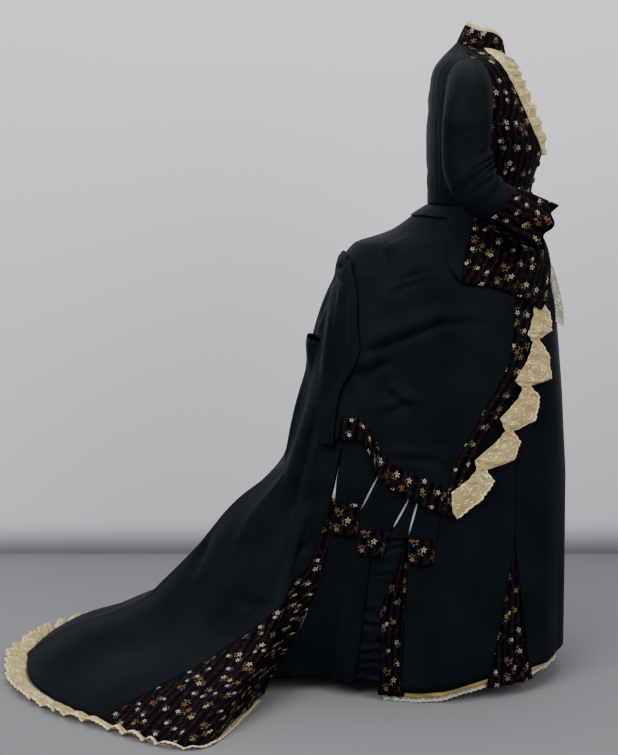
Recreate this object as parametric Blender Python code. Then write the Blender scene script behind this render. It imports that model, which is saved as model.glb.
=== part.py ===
"""Trained bustle dress of about 1880, in black silk satin and flowered velvet with cream lace.

The dress stands as it is worn, hollow, with its openings open. Every piece is a wall of cloth laid
over two forms: the bodice, which is a table of rings, and the skirt, which is a table of seams.
A place on the skirt is (gore, height): gore 0 is the centre front, 10 the centre back, positive on
the wearer's left; height is above the floor. A place on the bodice is (turn, ring): turn is in
degrees from the centre front, ring counts up the table. Metres; the front faces -Y.
"""

from collections import namedtuple

import bmesh
import bpy
import numpy as np

# Driving sizes
HELD_HEIGHT = 1.340  # the shoulders, where the wearer carries the dress, above the floor
WAIST_HEIGHT = 1.030
KNEE_HEIGHT = 0.450
SILK = 0.0014
VELVET = 0.0018
LACE = 0.0010
SEAM_GAP = 0.0003
BACK = 10.0  # gore of the centre back
GORE_WIDTH = 0.045  # of one gore, near the knee
SIDES = {"right": -1, "left": 1}

# Height of each layer's outer face above the underskirt's
LINING_OUT = 0.0018
FLOUNCE_OUT = 0.0044
DRAPE_OUT_WAIST = 0.0029
DRAPE_OUT = 0.0130
BASQUE_OUT_WAIST = 0.0064
BASQUE_OUT = 0.0225
FALL_OUT = 0.0185
FALL_OUT_BACK = 0.0110

Ring = namedtuple("Ring", "name front_z side_z back_z half_width front_y side_y back_y")
RINGS = (
    Ring("waist", 1.030, 1.030, 1.030, 0.120, -0.100, 0.015, 0.123),
    Ring("midriff", 1.090, 1.090, 1.090, 0.136, -0.108, 0.018, 0.124),
    Ring("bust", 1.160, 1.160, 1.160, 0.156, -0.126, 0.022, 0.125),
    Ring("chest", 1.230, 1.225, 1.230, 0.166, -0.104, 0.030, 0.124),
    Ring("upper chest", 1.290, 1.290, 1.290, 0.164, -0.078, 0.035, 0.120),
    Ring("shoulder", 1.325, 1.335, 1.335, 0.142, -0.060, 0.036, 0.108),
    Ring("neck", 1.345, 1.366, 1.384, 0.062, -0.045, 0.012, 0.063),
)
NECK = len(RINGS) - 1

# Plan of each seam at each level; train is 1 where the seam sweeps out, late how long it waits
Seam = namedtuple("Seam", "name turn shelf hip thigh knee hem train late")
SEAMS = (
    Seam(
        "centre front", 0, (0.000, -0.126), (0.000, -0.152), (0.000, -0.180), (0.000, -0.194),
        (0.000, -0.191), 0, 1.0,
    ),
    Seam(
        "front quarter", 32, (0.085, -0.106), (0.102, -0.126), (0.118, -0.150), (0.132, -0.163),
        (0.155, -0.163), 0, 1.0,
    ),
    Seam(
        "side front", 62, (0.140, -0.042), (0.165, -0.046), (0.192, -0.058), (0.216, -0.064),
        (0.268, -0.058), 0, 1.0,
    ),
    Seam(
        "side", 90, (0.158, 0.032), (0.188, 0.042), (0.220, 0.052), (0.250, 0.062),
        (0.318, 0.100), 0, 1.0,
    ),
    Seam(
        "kick pleat", 112, (0.156, 0.094), (0.190, 0.118), (0.226, 0.142), (0.258, 0.164),
        (0.304, 0.215), 0, 1.0,
    ),
    Seam(
        "side back", 128, (0.145, 0.152), (0.180, 0.188), (0.218, 0.224), (0.250, 0.260),
        (0.262, 0.320), 0, 1.0,
    ),
    Seam(
        "inset front", 142, (0.124, 0.202), (0.160, 0.246), (0.196, 0.292), (0.230, 0.336),
        (0.250, 0.465), 0.3, 1.2,
    ),
    Seam(
        "inset middle", 152, (0.098, 0.236), (0.128, 0.284), (0.158, 0.338), (0.188, 0.392),
        (0.560, 0.600), 1, 1.5,
    ),
    Seam(
        "inset back", 161, (0.068, 0.258), (0.088, 0.307), (0.108, 0.366), (0.128, 0.421),
        (0.420, 0.820), 1, 1.4,
    ),
    Seam(
        "tail", 170, (0.034, 0.270), (0.044, 0.318), (0.054, 0.380), (0.064, 0.433),
        (0.215, 0.990), 1, 1.15,
    ),
    Seam(
        "centre back", 180, (0.000, 0.275), (0.000, 0.322), (0.000, 0.384), (0.000, 0.437),
        (0.000, 1.040), 1, 1.0,
    ),
)
LEVELS = {"knee": KNEE_HEIGHT, "thigh": 0.660, "hip": 0.860, "shelf": 0.940}
BACK_HOLLOW = 0.034  # how far the small of the back dips in above the bustle's shelf

# The train's profile: how far down from the knee, and the share of the way out
Sweep = namedtuple("Sweep", "height out")
TRAIN = (
    Sweep(0.450, 0.000), Sweep(0.377, 0.165), Sweep(0.249, 0.343), Sweep(0.178, 0.455),
    Sweep(0.131, 0.540), Sweep(0.100, 0.650), Sweep(0.065, 0.820), Sweep(0.030, 0.930), Sweep(0, 1),
)

# Edges drawn on the skirt, each row a place on the edge from its lower end up
Edge = namedtuple("Edge", "height gore")
DRAPE_FRONT = (
    Edge(0.390, 3.15), Edge(0.480, 2.98), Edge(0.580, 2.53), Edge(0.690, 1.96), Edge(0.834, 1.60),
    Edge(1.020, 1.30),
)
DRAPE_HEM = (
    Edge(0.390, 3.15), Edge(0.407, 3.60), Edge(0.437, 4.25), Edge(0.467, 4.75), Edge(0.520, 5.10),
    Edge(0.545, 5.40), Edge(0.545, 6.40),
)
DRAPE_BACK = (
    Edge(0.545, 6.40), Edge(0.700, 6.60), Edge(0.860, 7.50), Edge(0.905, 8.80), Edge(0.935, 9.97),
    Edge(1.020, 9.97),
)
FALL_EDGE = (
    Edge(0.530, 6.10), Edge(0.590, 6.20), Edge(0.655, 6.18), Edge(0.700, 5.92), Edge(0.732, 5.84),
    Edge(0.770, 6.00), Edge(0.853, 6.60), Edge(0.915, 7.90),
)
INSET_FRONT = (
    Edge(0.010, 6.10), Edge(0.068, 6.00), Edge(0.141, 5.88), Edge(0.229, 5.72), Edge(0.294, 5.68),
    Edge(0.440, 5.80),
)
INSET_BACK = (
    Edge(0.004, 7.98), Edge(0.043, 7.84), Edge(0.091, 7.68), Edge(0.118, 7.60), Edge(0.153, 7.39),
    Edge(0.204, 6.92), Edge(0.251, 6.25), Edge(0.324, 5.98), Edge(0.440, 5.94),
)

# Big folds pressed into the hip drapery by its looping up: ends of each line, then depth and width
Crease = namedtuple("Crease", "start end depth width")
HIP_CREASES = (
    Crease((5.80, 0.715), (3.90, 0.790), -0.0090, 0.020),
    Crease((3.90, 0.790), (2.50, 0.788), -0.0060, 0.018),
    Crease((5.90, 0.770), (3.70, 0.845), 0.0130, 0.028),
    Crease((5.50, 0.700), (4.80, 0.640), -0.0090, 0.022),
    Crease((5.00, 0.735), (3.30, 0.735), 0.0080, 0.024),
    Crease((6.80, 0.870), (4.10, 0.905), -0.0080, 0.020),
    Crease((8.20, 0.935), (5.20, 0.945), 0.0080, 0.022),
    Crease((4.90, 0.650), (4.20, 0.610), -0.0060, 0.020),
    Crease((4.60, 0.560), (3.70, 0.520), 0.0070, 0.020),
)

WHITE_LACE = (0.78, 0.74, 0.64)
CREAM_LACE = (0.72, 0.60, 0.38)
BLACK_SATIN = (0.009, 0.011, 0.014)
DARK_VELVET = (0.020, 0.010, 0.012)
PALE_LINING = (0.50, 0.60, 0.62)
GOLD_SILK = (0.55, 0.36, 0.07)


def material(name, colour, roughness):
    found = bpy.data.materials.get(name)
    if found is None:
        found = bpy.data.materials.new(name)
        found.use_nodes = True
        shader = found.node_tree.nodes["Principled BSDF"]
        shader.inputs["Base Color"].default_value = (*colour, 1)
        shader.inputs["Roughness"].default_value = roughness
        shader.inputs["Metallic"].default_value = 0
    return found


def satin():
    return material("black_silk_satin", BLACK_SATIN, 0.38)


def velvet():
    return material("flowered_velvet", DARK_VELVET, 0.85)


def cream_lace():
    return material("cream_lace", CREAM_LACE, 0.80)


def white_lace():
    return material("white_lace", WHITE_LACE, 0.80)


def smooth(knots, rows, at):
    """Reads a table as one smooth curve. Each row may be one number, or one for each place asked for."""
    knots = np.asarray(knots, float)
    rows = np.asarray(rows, float)
    at = np.clip(np.atleast_1d(np.asarray(at, float)), knots[0], knots[-1])
    slopes = np.gradient(rows, knots, axis=0)
    row = np.clip(np.searchsorted(knots, at, side="right") - 1, 0, len(knots) - 2)
    step = knots[row + 1] - knots[row]
    t = (at - knots[row]) / step

    def pick(table, index):
        return table[index] if table.ndim == 1 else table[index, np.arange(len(at))]

    return (
        pick(rows, row) * (1 - t) ** 2 * (1 + 2 * t)
        + pick(rows, row + 1) * t**2 * (3 - 2 * t)
        + step * (pick(slopes, row) * t * (1 - t) ** 2 - pick(slopes, row + 1) * t**2 * (1 - t))
    )


def flat(first, second):
    """Two numbers or grids as arrays of one shape."""
    return np.broadcast_arrays(*(np.atleast_1d(np.asarray(value, float)) for value in (first, second)))


def ease(x):
    x = np.clip(x, 0, 1)
    return x * x * (3 - 2 * x)


def on_rings(turn, ring):
    """The bodice's outer face."""
    turn, ring = flat(turn, ring)
    turn = (turn + 180) % 360 - 180

    def column(name):
        return smooth(range(len(RINGS)), [getattr(row, name) for row in RINGS], ring)

    forward = np.cos(np.radians(turn))
    across = np.sin(np.radians(np.abs(turn)))
    front, side, back = column("front_y"), column("side_y"), column("back_y")
    low, mid, high = column("front_z"), column("side_z"), column("back_z")
    x = column("half_width") * np.abs(across) ** 0.9 * np.sign(turn)
    y = side + np.where(forward > 0, front - side, back - side) * np.abs(forward)
    z = mid + np.where(forward > 0, low - mid, high - mid) * forward**2
    return np.stack([x, y, z], 1)


def skirt_waist(turn):
    """The waist of the underskirt, inside the bodice by the basque's height above it."""
    x, y, _ = on_rings(turn, 0)[0]
    reach = np.hypot(x, y - RINGS[0].side_y)
    keep = 1 - BASQUE_OUT_WAIST / reach
    return x * keep, RINGS[0].side_y + (y - RINGS[0].side_y) * keep


def on_skirt(gore, height):
    """The underskirt's outer face, from the waist to the floor."""
    gore, height = flat(gore, height)
    gore = (gore + BACK) % (2 * BACK) - BACK
    drops = [KNEE_HEIGHT - row.height for row in TRAIN]
    sweep = smooth(drops, [row.out for row in TRAIN], KNEE_HEIGHT - height)
    fall = np.clip((KNEE_HEIGHT - height) / KNEE_HEIGHT, 0, 1)
    above = np.maximum(height, KNEE_HEIGHT)
    climb = np.clip((height - LEVELS["shelf"]) / (WAIST_HEIGHT - LEVELS["shelf"]), 0, 1)
    hollow = BACK_HOLLOW * np.sin(np.pi * climb**0.6) ** 2
    shelf = SEAMS[-1].shelf[1] - skirt_waist(SEAMS[-1].turn)[1]
    knots = [*LEVELS.values(), WAIST_HEIGHT]
    plan = np.zeros((2, len(SEAMS), len(gore)))
    for row, seam in enumerate(SEAMS):
        out = fall * (1 - seam.train) + np.clip(sweep, 0, 1) ** seam.late * seam.train
        waist = skirt_waist(seam.turn)
        for axis in (0, 1):
            up = smooth(knots, [*(getattr(seam, level)[axis] for level in LEVELS), waist[axis]], above)
            up -= hollow * axis * np.maximum(seam.shelf[1] - waist[1], 0) / shelf
            down = seam.knee[axis] + (seam.hem[axis] - seam.knee[axis]) * out
            plan[axis, row] = np.where(height >= KNEE_HEIGHT, up, down)
    x, y = (smooth(range(len(SEAMS)), plan[axis], np.abs(gore)) for axis in (0, 1))
    return np.stack([x * np.where(gore < 0, -1, 1), y, height], 1)


def outward(form, across, up, reach=(0.02, 0.004)):
    """The direction straight out of a form's face."""
    along = form(across + reach[0], up) - form(across - reach[0], up)
    rise = form(across, up + reach[1]) - form(across, up - reach[1])
    found = np.cross(along, rise)
    return found / np.linalg.norm(found, axis=1, keepdims=True)


def off_skirt(gore, height, out):
    gore, height = flat(gore, height)
    facing = outward(on_skirt, gore, np.clip(height, 0.006, WAIST_HEIGHT - 0.010))
    return on_skirt(gore, height) + facing * np.reshape(out, (-1, 1))


def off_bodice(turn, ring, out):
    turn, ring = flat(turn, ring)
    facing = outward(on_rings, turn, np.clip(ring, 0.02, NECK - 0.02), (0.5, 0.02))
    return on_rings(turn, ring) + facing * np.reshape(out, (-1, 1))


def edge_gore(edge, height):
    return smooth([row.height for row in edge], [row.gore for row in edge], height)


def along_edge(edge, share):
    """A place on an edge, share 0 at its first row and 1 at its last."""
    gores, heights = [row.gore for row in edge], [row.height for row in edge]
    reach = np.cumsum([0, *np.hypot(np.diff(heights), GORE_WIDTH * np.diff(gores))])
    knots = reach / reach[-1]
    gore, height = smooth(knots, gores, share), smooth(knots, heights, share)
    return np.clip(gore, min(gores), max(gores)), np.clip(height, min(heights), max(heights))


def creased(points, creases, side):
    """How far out the folds of a table push each point."""
    out = np.zeros(len(points))
    for crease in creases:
        start, end = (on_skirt(side * place[0], place[1])[0] for place in (crease.start, crease.end))
        run = end - start
        share = np.clip((points - start) @ run / (run @ run), 0, 1)
        away = np.linalg.norm(points - start - share[:, None] * run, axis=1)
        taper = 0.35 + 0.65 * np.sin(np.pi * np.clip(share, 0.05, 0.95))
        out += crease.depth * taper * np.exp(-((away / crease.width) ** 2))
    return out


def cloth(name, form, across, up, wall, finish, ring=False, flip=False):
    """A wall of cloth whose outer face is form(u, v) over every u in across and v in up."""
    mesh = bmesh.new()
    bmesh.ops.create_grid(mesh, x_segments=len(across) - 1, y_segments=len(up) - 1, size=0.5)
    mesh.verts.ensure_lookup_table()
    u, v = np.meshgrid(across, up)
    places = form(u.ravel(), v.ravel())
    for vertex, place in zip(mesh.verts, places):
        vertex.co = place - (0, 0, HELD_HEIGHT)
    if ring:
        bmesh.ops.remove_doubles(mesh, verts=mesh.verts, dist=1e-6)
    if flip:
        bmesh.ops.reverse_faces(mesh, faces=mesh.faces)
    data = bpy.data.meshes.new(name)
    mesh.to_mesh(data)
    mesh.free()
    data.shade_smooth()
    data.materials.append(finish)
    piece = bpy.data.objects.new(name, data)
    bpy.context.scene.collection.objects.link(piece)
    thickness = piece.modifiers.new("wall", "SOLIDIFY")
    thickness.thickness = wall
    thickness.offset = -1
    return piece


def steps(start, end, count):
    return np.linspace(start, end, count + 1)


# Bodice: velvet fronts and silk backs, with armholes cut between them
SIDE_TURN = 97.0
SHOULDER_SEAM_BACK = 30.0  # how far round the shoulder seam swings back, by the neck
UNDERARM, SHOULDER_TIP = 2.90, 5.02
ARMHOLE_FRONT, ARMHOLE_BACK = 20.0, 33.0
ARMHOLE_ROUND = 0.62
FRONT_POINT_TURN = 47.0
BODICE_ROWS = (-1, -0.66, -0.33, 0, 0.7, 1.4, 2.1, UNDERARM, 3.2, 3.95, 4.7, SHOULDER_TIP, 5.5, NECK)
Hem = namedtuple("Hem", "turn height")
BASQUE_HEM = (
    Hem(0, 0.930), Hem(24, 0.870), Hem(47, 0.812), Hem(52, 0.823), Hem(60, 0.840), Hem(72, 0.857),
    Hem(97, 0.870),
)
BACK_HEM = (
    Hem(97, 0.870), Hem(102, 0.886), Hem(107, 0.906), Hem(114, 0.965), Hem(122, 0.998), Hem(135, 1.004),
    Hem(180, 1.004),
)
PLEAT_DEPTH, PLEATS = 0.0022, 4.5


def side_turn(ring):
    """Where the front meets the back: the side seam, then the shoulder seam above the armhole."""
    return SIDE_TURN + SHOULDER_SEAM_BACK * ease((ring - SHOULDER_TIP) / (NECK - SHOULDER_TIP))


def armhole(ring, reach):
    share = np.clip((ring - UNDERARM) / (SHOULDER_TIP - UNDERARM), 0, 1)
    return reach * np.sin(np.pi * share) ** ARMHOLE_ROUND


def basque_out(height):
    return BASQUE_OUT_WAIST + (BASQUE_OUT - BASQUE_OUT_WAIST) * ease((WAIST_HEIGHT - height) / 0.120)


def on_body(turn, ring, hem, out=0.0):
    """The bodice with its skirted basque: ring 0 is the waist and -1 the basque's hem."""
    turn, ring = flat(turn, ring)
    out = np.broadcast_to(out, turn.shape)
    hem_height = smooth([row.turn for row in hem], [row.height for row in hem], np.abs(turn))
    height = WAIST_HEIGHT + np.minimum(ring, 0) * (WAIST_HEIGHT - hem_height)
    gore = np.interp(np.abs(turn), [seam.turn for seam in SEAMS], range(len(SEAMS))) * np.sign(turn)
    below = off_skirt(gore, height, basque_out(height) + out)
    above = off_bodice(turn, np.maximum(ring, 0), out)
    return np.where((ring > 0)[:, None], above, below)


def front_edge_turn(ring):
    """The fronts meet down to the waist and part below it, to the basque's points."""
    return 0.10 + (FRONT_POINT_TURN - 0.10) * np.clip(-ring, 0, 1) ** 1.15


def make_bodice_front(word, side):
    def form(u, v):
        outer = side_turn(v) - armhole(v, ARMHOLE_FRONT)
        near = front_edge_turn(v)
        share = u if side > 0 else 1 - u
        pleats = PLEAT_DEPTH * np.cos(share * PLEATS * 2 * np.pi) * ease(-v)
        pleats *= ease(3 * share) * ease(3 * (1 - share))
        return on_body(side * (near + (outer - near) * share), v, BASQUE_HEM, pleats)

    cloth(f"bodice_front_{word}", form, steps(0, 1, 9), BODICE_ROWS, VELVET, velvet())


def make_bodice_back(word, side):
    gap = SEAM_GAP / RINGS[0].half_width * 57.3

    def form(u, v):
        near = side_turn(v) + 3 * gap + armhole(v, ARMHOLE_BACK)
        far = 180 - gap
        share = u if side > 0 else 1 - u
        return on_body(side * (near + (far - near) * share), v, BACK_HEM)

    cloth(f"bodice_back_{word}", form, steps(0, 1, 7), BODICE_ROWS, SILK, satin())


# Standing collar of velvet with a lace frill inside it
COLLAR_TOP = Ring("collar top", 1.384, 1.402, 1.420, 0.056, -0.037, 0.006, 0.047)
COLLAR_END = 0.8


def on_collar(turn, share, out):
    """The collar's outer face, share 0 at the neck seam and 1 at its top."""
    turn, share = flat(turn, share)
    base = on_rings(turn, NECK) + (0, 0, 0.0008)
    forward, across = np.cos(np.radians(turn)), np.sin(np.radians(turn))
    rim = COLLAR_TOP
    depth = np.where(forward > 0, rim.side_y - rim.front_y, rim.back_y - rim.side_y)
    rise = np.where(forward > 0, rim.front_z - rim.side_z, rim.back_z - rim.side_z)
    x = rim.half_width * np.abs(across) ** 0.9 * np.sign(across)
    top = np.stack([x, rim.side_y - depth * forward, rim.side_z + rise * forward**2], 1)
    outside = np.stack([across, -forward, np.zeros_like(across)], 1)
    return base + (top - base) * share[:, None] + outside * np.reshape(out, (-1, 1))


def make_collar():
    across = steps(COLLAR_END, 360 - COLLAR_END, 26)
    cloth("collar", lambda u, v: on_collar(u, v, 0.0), across, (0, 1), VELVET, velvet())


def make_collar_frill(waves=16, proud=0.010):
    def form(u, v):
        wave = np.cos(np.radians(u * waves)) * 0.0014 * v
        return on_collar(u, 0.45 + v * (0.55 + proud / 0.036), -0.0042 + wave)

    cloth("collar_frill", form, steps(4, 356, waves * 3), (0, 1), LACE, white_lace())


# Lace laid down both front edges from under the collar
Lace = namedtuple("Lace", "ring inner outer")
JABOT = (
    Lace(1.75, 2.0, 22.0), Lace(2.20, 1.0, 33.0), Lace(3.00, 1.0, 40.0), Lace(4.00, 1.0, 48.0),
    Lace(5.00, 1.5, 60.0), Lace(5.93, 4.0, 88.0),
)
JABOT_OUT = 0.0022
JABOT_WAVE = 0.0030


def make_jabot(word, side):
    def form(u, v):
        rings = [row.ring for row in JABOT]
        inner = smooth(rings, [row.inner for row in JABOT], v)
        outer = smooth(rings, [row.outer for row in JABOT], v)
        share = u if side > 0 else 1 - u
        wave = JABOT_WAVE * (1 + np.cos(v * 2 * np.pi * 2.2 + share))
        wave *= ease(1.6 * (1 - share) + 0.2) * ease((6.1 - v) * 1.5)
        return off_bodice(side * (inner + (outer - inner) * share), v, JABOT_OUT + LACE + wave)

    cloth(f"jabot_{word}", form, steps(0, 1, 3), steps(1.75, 5.93, 18), LACE, cream_lace())


# Covered buttons down the centre front, below the lace
BUTTON_RINGS = (0.42, 0.94, 1.46)
BUTTON_RADIUS = 0.0068
BUTTON_HEIGHT = 0.0050
BUTTON_GAP = 0.0005


def make_button(number, ring):
    edge = on_rings(0.0, [row for row in BODICE_ROWS if row >= 0])
    height = on_rings(0.0, ring)[0][2]
    row = np.searchsorted(edge[:, 2], height)
    rise = (edge[row] - edge[row - 1]) / np.linalg.norm(edge[row] - edge[row - 1])
    facing = np.array([0, -rise[2], rise[1]])
    centre = np.array([0, np.interp(height, edge[:, 2], edge[:, 1]), height - HELD_HEIGHT])
    mesh = bmesh.new()
    bmesh.ops.create_uvsphere(mesh, u_segments=8, v_segments=5, radius=BUTTON_RADIUS)
    for vertex in mesh.verts:
        x, y, z = vertex.co
        out = BUTTON_GAP + BUTTON_HEIGHT / 2 * (1 + z / BUTTON_RADIUS)
        vertex.co = centre + (x, 0, 0) + y * rise + out * facing
    bmesh.ops.recalc_face_normals(mesh, faces=mesh.faces)
    data = bpy.data.meshes.new(f"button_{number}")
    mesh.to_mesh(data)
    mesh.free()
    data.shade_smooth()
    data.materials.append(velvet())
    bpy.context.scene.collection.objects.link(bpy.data.objects.new(f"button_{number}", data))


# Sleeves: each ring stands square to the arm; tilt is the arm's lean forward from straight down
Cuffs = namedtuple("Cuffs", "name x y z deep wide lean tilt")
SLEEVE = (
    Cuffs("upper arm", 0.214, 0.060, 1.208, 0.0500, 0.0420, 84, 0),
    Cuffs("middle arm", 0.215, 0.061, 1.160, 0.0490, 0.0420, 90, 5),
    Cuffs("above elbow", 0.222, 0.058, 1.118, 0.0500, 0.0420, 90, 20),
    Cuffs("elbow", 0.226, 0.042, 1.083, 0.0505, 0.0420, 90, 45),
    Cuffs("below elbow", 0.225, 0.016, 1.054, 0.0480, 0.0420, 90, 62),
    Cuffs("forearm", 0.217, -0.020, 1.036, 0.0430, 0.0390, 90, 69),
    Cuffs("wrist", 0.208, -0.056, 1.022, 0.0385, 0.0360, 90, 71),
)
CUFF = (
    Cuffs("cuff seam", 0.216, -0.030, 1.031, 0.0482, 0.0460, 90, 69),
    Cuffs("cuff middle", 0.206, -0.068, 1.012, 0.0480, 0.0440, 90, 70),
    Cuffs("cuff edge", 0.196, -0.110, 0.992, 0.0500, 0.0450, 90, 71),
)
CUFF_DIP = 0.040
CUFF_FOLD = 0.0022
CUFF_AXIS = np.array([0, -0.940, -0.342])
SLEEVE_SIDES = 14
SLEEVE_SEAM_GAP = 0.25  # half the gap at each of the sleeve's long seams, in degrees
SLEEVE_HEAD = 0.030  # how far the sleeve head swells out over the shoulder
SLEEVE_OUT = 0.0025


def on_arm(rows, round_turn, place):
    """A tube of rings: round_turn is degrees from the arm's front, place counts down the table."""
    table = np.array([row[1:] for row in rows])
    x, y, z, deep, wide, lean, tilt = (smooth(range(len(rows)), column, place) for column in table.T)
    tilt, lean, around = np.radians(tilt), np.radians(lean), np.radians(round_turn)
    nil = np.zeros_like(tilt)
    front = np.stack([nil, -np.cos(tilt), np.sin(tilt)], 1)
    outer = np.stack([np.sin(lean), nil, np.cos(lean)], 1)
    centre = np.stack([x, y, z], 1)
    forward, sideways = deep * np.cos(around), wide * np.sin(around)
    return centre + front * forward[:, None] + outer * sideways[:, None]


def armhole_ring(round_turn, out):
    """The sleeve's top edge, laid round the armhole: 0 is its front, 90 its top."""
    around = np.radians(round_turn)
    middle, reach = (UNDERARM + SHOULDER_TIP) / 2, (SHOULDER_TIP - UNDERARM) / 2 + 0.06
    ring = middle + reach * np.sin(around)
    cosine = np.cos(around)
    reach_round = np.where(cosine > 0, ARMHOLE_FRONT + 2, ARMHOLE_BACK + 2)
    return off_bodice(SIDE_TURN - reach_round * np.sign(cosine) * np.abs(cosine) ** 0.9, ring, out)


def mirrored(points, side):
    return points * (side, 1, 1)


def make_sleeve(word, side):
    """An outer and an under piece, joined by a seam up the arm's front and one up its back."""

    def form(u, v):
        tube = on_arm(SLEEVE, u, np.maximum(v, 0))
        rise = np.clip(-v, 0, 1)
        head = SLEEVE_HEAD * np.sin(np.pi * rise) * (0.5 + 0.5 * np.sin(np.radians(u))) ** 1.5
        swell = head[:, None] * np.array([0.75, 0, 0.66])
        return mirrored(tube + (armhole_ring(u, SLEEVE_OUT) - tube) * rise[:, None] + swell, side)

    rows = (-1, -0.7, -0.4, 0, 1, 2, 2.5, 3, 3.5, 4.2, 5, 6)
    for piece, start in (("outer", 0), ("under", 180)):
        across = steps(start + SLEEVE_SEAM_GAP, start + 180 - SLEEVE_SEAM_GAP, SLEEVE_SIDES // 2)
        cloth(f"sleeve_{piece}_{word}", form, across, rows, SILK, satin(), flip=side < 0)


def make_cuff(word, side, folds=9):
    def form(u, v):
        around = np.radians(u)
        start = (0.5 - 0.5 * np.cos(around)) * (1 - v / 2) * CUFF_DIP
        tube = on_arm(CUFF, u, v)
        centre = (tube + on_arm(CUFF, u + 180, v)) / 2
        away = (tube - centre) / np.linalg.norm(tube - centre, axis=1, keepdims=True)
        fold = CUFF_FOLD * np.cos(around * folds) * ease(v)
        return mirrored(tube - CUFF_AXIS * start[:, None] + away * fold[:, None], side)

    across = steps(0, 360, folds * 3)
    cloth(f"cuff_{word}", form, across, (0, 0.8, 2), VELVET, velvet(), ring=True, flip=side < 0)


# Underskirt: plain satin front and sides, with flowered godets let in at two kick pleats
HEM_HEIGHT = 0.022
Godet = namedtuple("Godet", "name centre reach top foot pleats columns")
GODETS = (
    Godet("front_godet", 2.08, 0.355, 0.330, 0.026, 3.5, 8),
    Godet("kick_godet", 4.02, 0.215, 0.400, 0.012, 2.5, 6),
)
FRONT_GODET, KICK_GODET = GODETS
GATHER_END = 4.72
UNDERSKIRT_HEIGHTS = (HEM_HEIGHT, 0.16, 0.27, 0.36, 0.45, 0.60, 0.75, 0.86, 0.94, 1.022)
GORE_GAP = 0.0036  # half a seam's gap, in gores
# The hem rises clear of the floor towards the centre front; the lift dies away up the skirt
HEM_LIFT = ((0, 0.044), (1, 0.036), (1.72, 0.030), (2.45, 0.024), (3.05, 0.003), (3.60, 0))
LIFT_TOP = 0.160
GODET_IN, GODET_PLEAT, GODET_POINT = -0.001, 0.004, 0.045
GATHER_DEPTH, GATHER_SPACING = 0.0022, 0.052
SIDE_FOLD, SIDE_BACK_HEM = 0.007, 0.030


def hung(gore, height):
    """The height of a place near the hem, once the hem is lifted."""
    lift = np.interp(np.abs(gore), *zip(*HEM_LIFT))
    return height + lift * np.clip((LIFT_TOP - height) / (LIFT_TOP - HEM_HEIGHT), 0, 1)


def godet_edge(godet, height, way):
    """The seam before (way -1) or behind (way 1) a godet's place, from which a panel starts."""
    rise = np.clip((height - HEM_HEIGHT) / (godet.top - HEM_HEIGHT), 0, 1)
    return godet.centre + way * (godet.reach * (1 - rise) + GORE_GAP)


def panel(name, low, high, heights, columns, side, out=None, wall=SILK, finish=None, lifted=False):
    """A panel of the skirt between two edges, each a function of height, on one side."""

    def form(u, height):
        share = u if side > 0 else 1 - u
        if lifted:
            height = hung(low(height) + (high(height) - low(height)) * share, height)
        gore = low(height) + (high(height) - low(height)) * share
        return off_skirt(side * gore, height, out(gore, height) if out else 0.0)

    cloth(name, form, steps(0, 1, columns), heights, wall, finish or satin())


def make_underskirt_front():
    def form(u, height):
        height = hung(godet_edge(FRONT_GODET, height, -1) * u, height)
        return off_skirt(godet_edge(FRONT_GODET, height, -1) * u, height, 0.0)

    cloth("underskirt_front", form, steps(-1, 1, 10), UNDERSKIRT_HEIGHTS, SILK, satin())


def make_underskirt_side(word, side):
    def low(height):
        return godet_edge(FRONT_GODET, height, 1)

    def high(height):
        return godet_edge(KICK_GODET, height, -1)

    panel(f"underskirt_side_{word}", low, high, UNDERSKIRT_HEIGHTS, 5, side, lifted=True)


def make_godet(godet, word, side):
    """A velvet wedge let into a seam, its pleats standing out more towards the hem."""

    def half(height):
        return godet_edge(godet, height, 1) - godet.centre - 2 * GORE_GAP

    def pleats(gore, height):
        share = (gore - godet.centre) / half(height)
        return GODET_IN + GODET_PLEAT * np.cos(share * np.pi * godet.pleats) * (1 - height / godet.top)

    def low(height):
        return godet.centre - half(height)

    def high(height):
        return godet.centre + half(height)

    heights = steps(godet.foot, godet.top - GODET_POINT, 4)
    panel(f"{godet.name}_{word}", low, high, heights, godet.columns, side, pleats, VELVET, velvet())


def make_gathered_strip(word, side):
    top = KICK_GODET.top

    def gathers(gore, height):
        fade = ease((LINING_FEET[0] - height) / 0.03)
        return GATHER_DEPTH * np.sin(height * 2 * np.pi / GATHER_SPACING + gore * 2) * fade

    def low(height):
        return godet_edge(KICK_GODET, height, 1)

    def high(height):
        return GATHER_END - GORE_GAP + 0 * height

    panel(f"side_gathers_{word}", low, high, steps(HEM_HEIGHT, top, 14), 2, side, gathers)


def make_side_back(word, side):
    def hang(gore, height):
        return SIDE_FOLD * np.sin((gore - GATHER_END) * np.pi * 2.4) * (1 - height / KICK_GODET.top)

    def low(height):
        return GATHER_END + GORE_GAP + 0 * height

    def high(height):
        return edge_gore(INSET_FRONT, height) - 2 * GORE_GAP

    panel(f"side_back_{word}", low, high, steps(SIDE_BACK_HEM, KICK_GODET.top, 6), 5, side, hang)


# Velvet inset and train
TRAIN_TOP, TRAIN_TOP_GORE = 0.735, 6.35
TRAIN_HEIGHTS = (0.006, 0.035, 0.068, 0.105, 0.150, 0.200, 0.255, 0.315, 0.380, 0.425)
TRAIN_HEIGHTS_ABOVE = (0.480, 0.560, 0.640, 0.690, TRAIN_TOP)
TRAIN_FLARE = 0.020  # of its top edge at the back, above which the back fall begins
TRAIN_BOX = 0.0055  # how far it stands out over the flounce's lining


def train_folds(gore, height):
    """Soft flutes that open down the train; they fade out towards its top."""
    place = np.abs(gore)
    low = ease((0.42 - height) / 0.3) * ease(height / 0.10 + 0.25)
    return low * (0.010 * np.sin(place * 2.6 + 0.7) + 0.004 * np.sin(place * 5.3 + 2.0))


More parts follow.
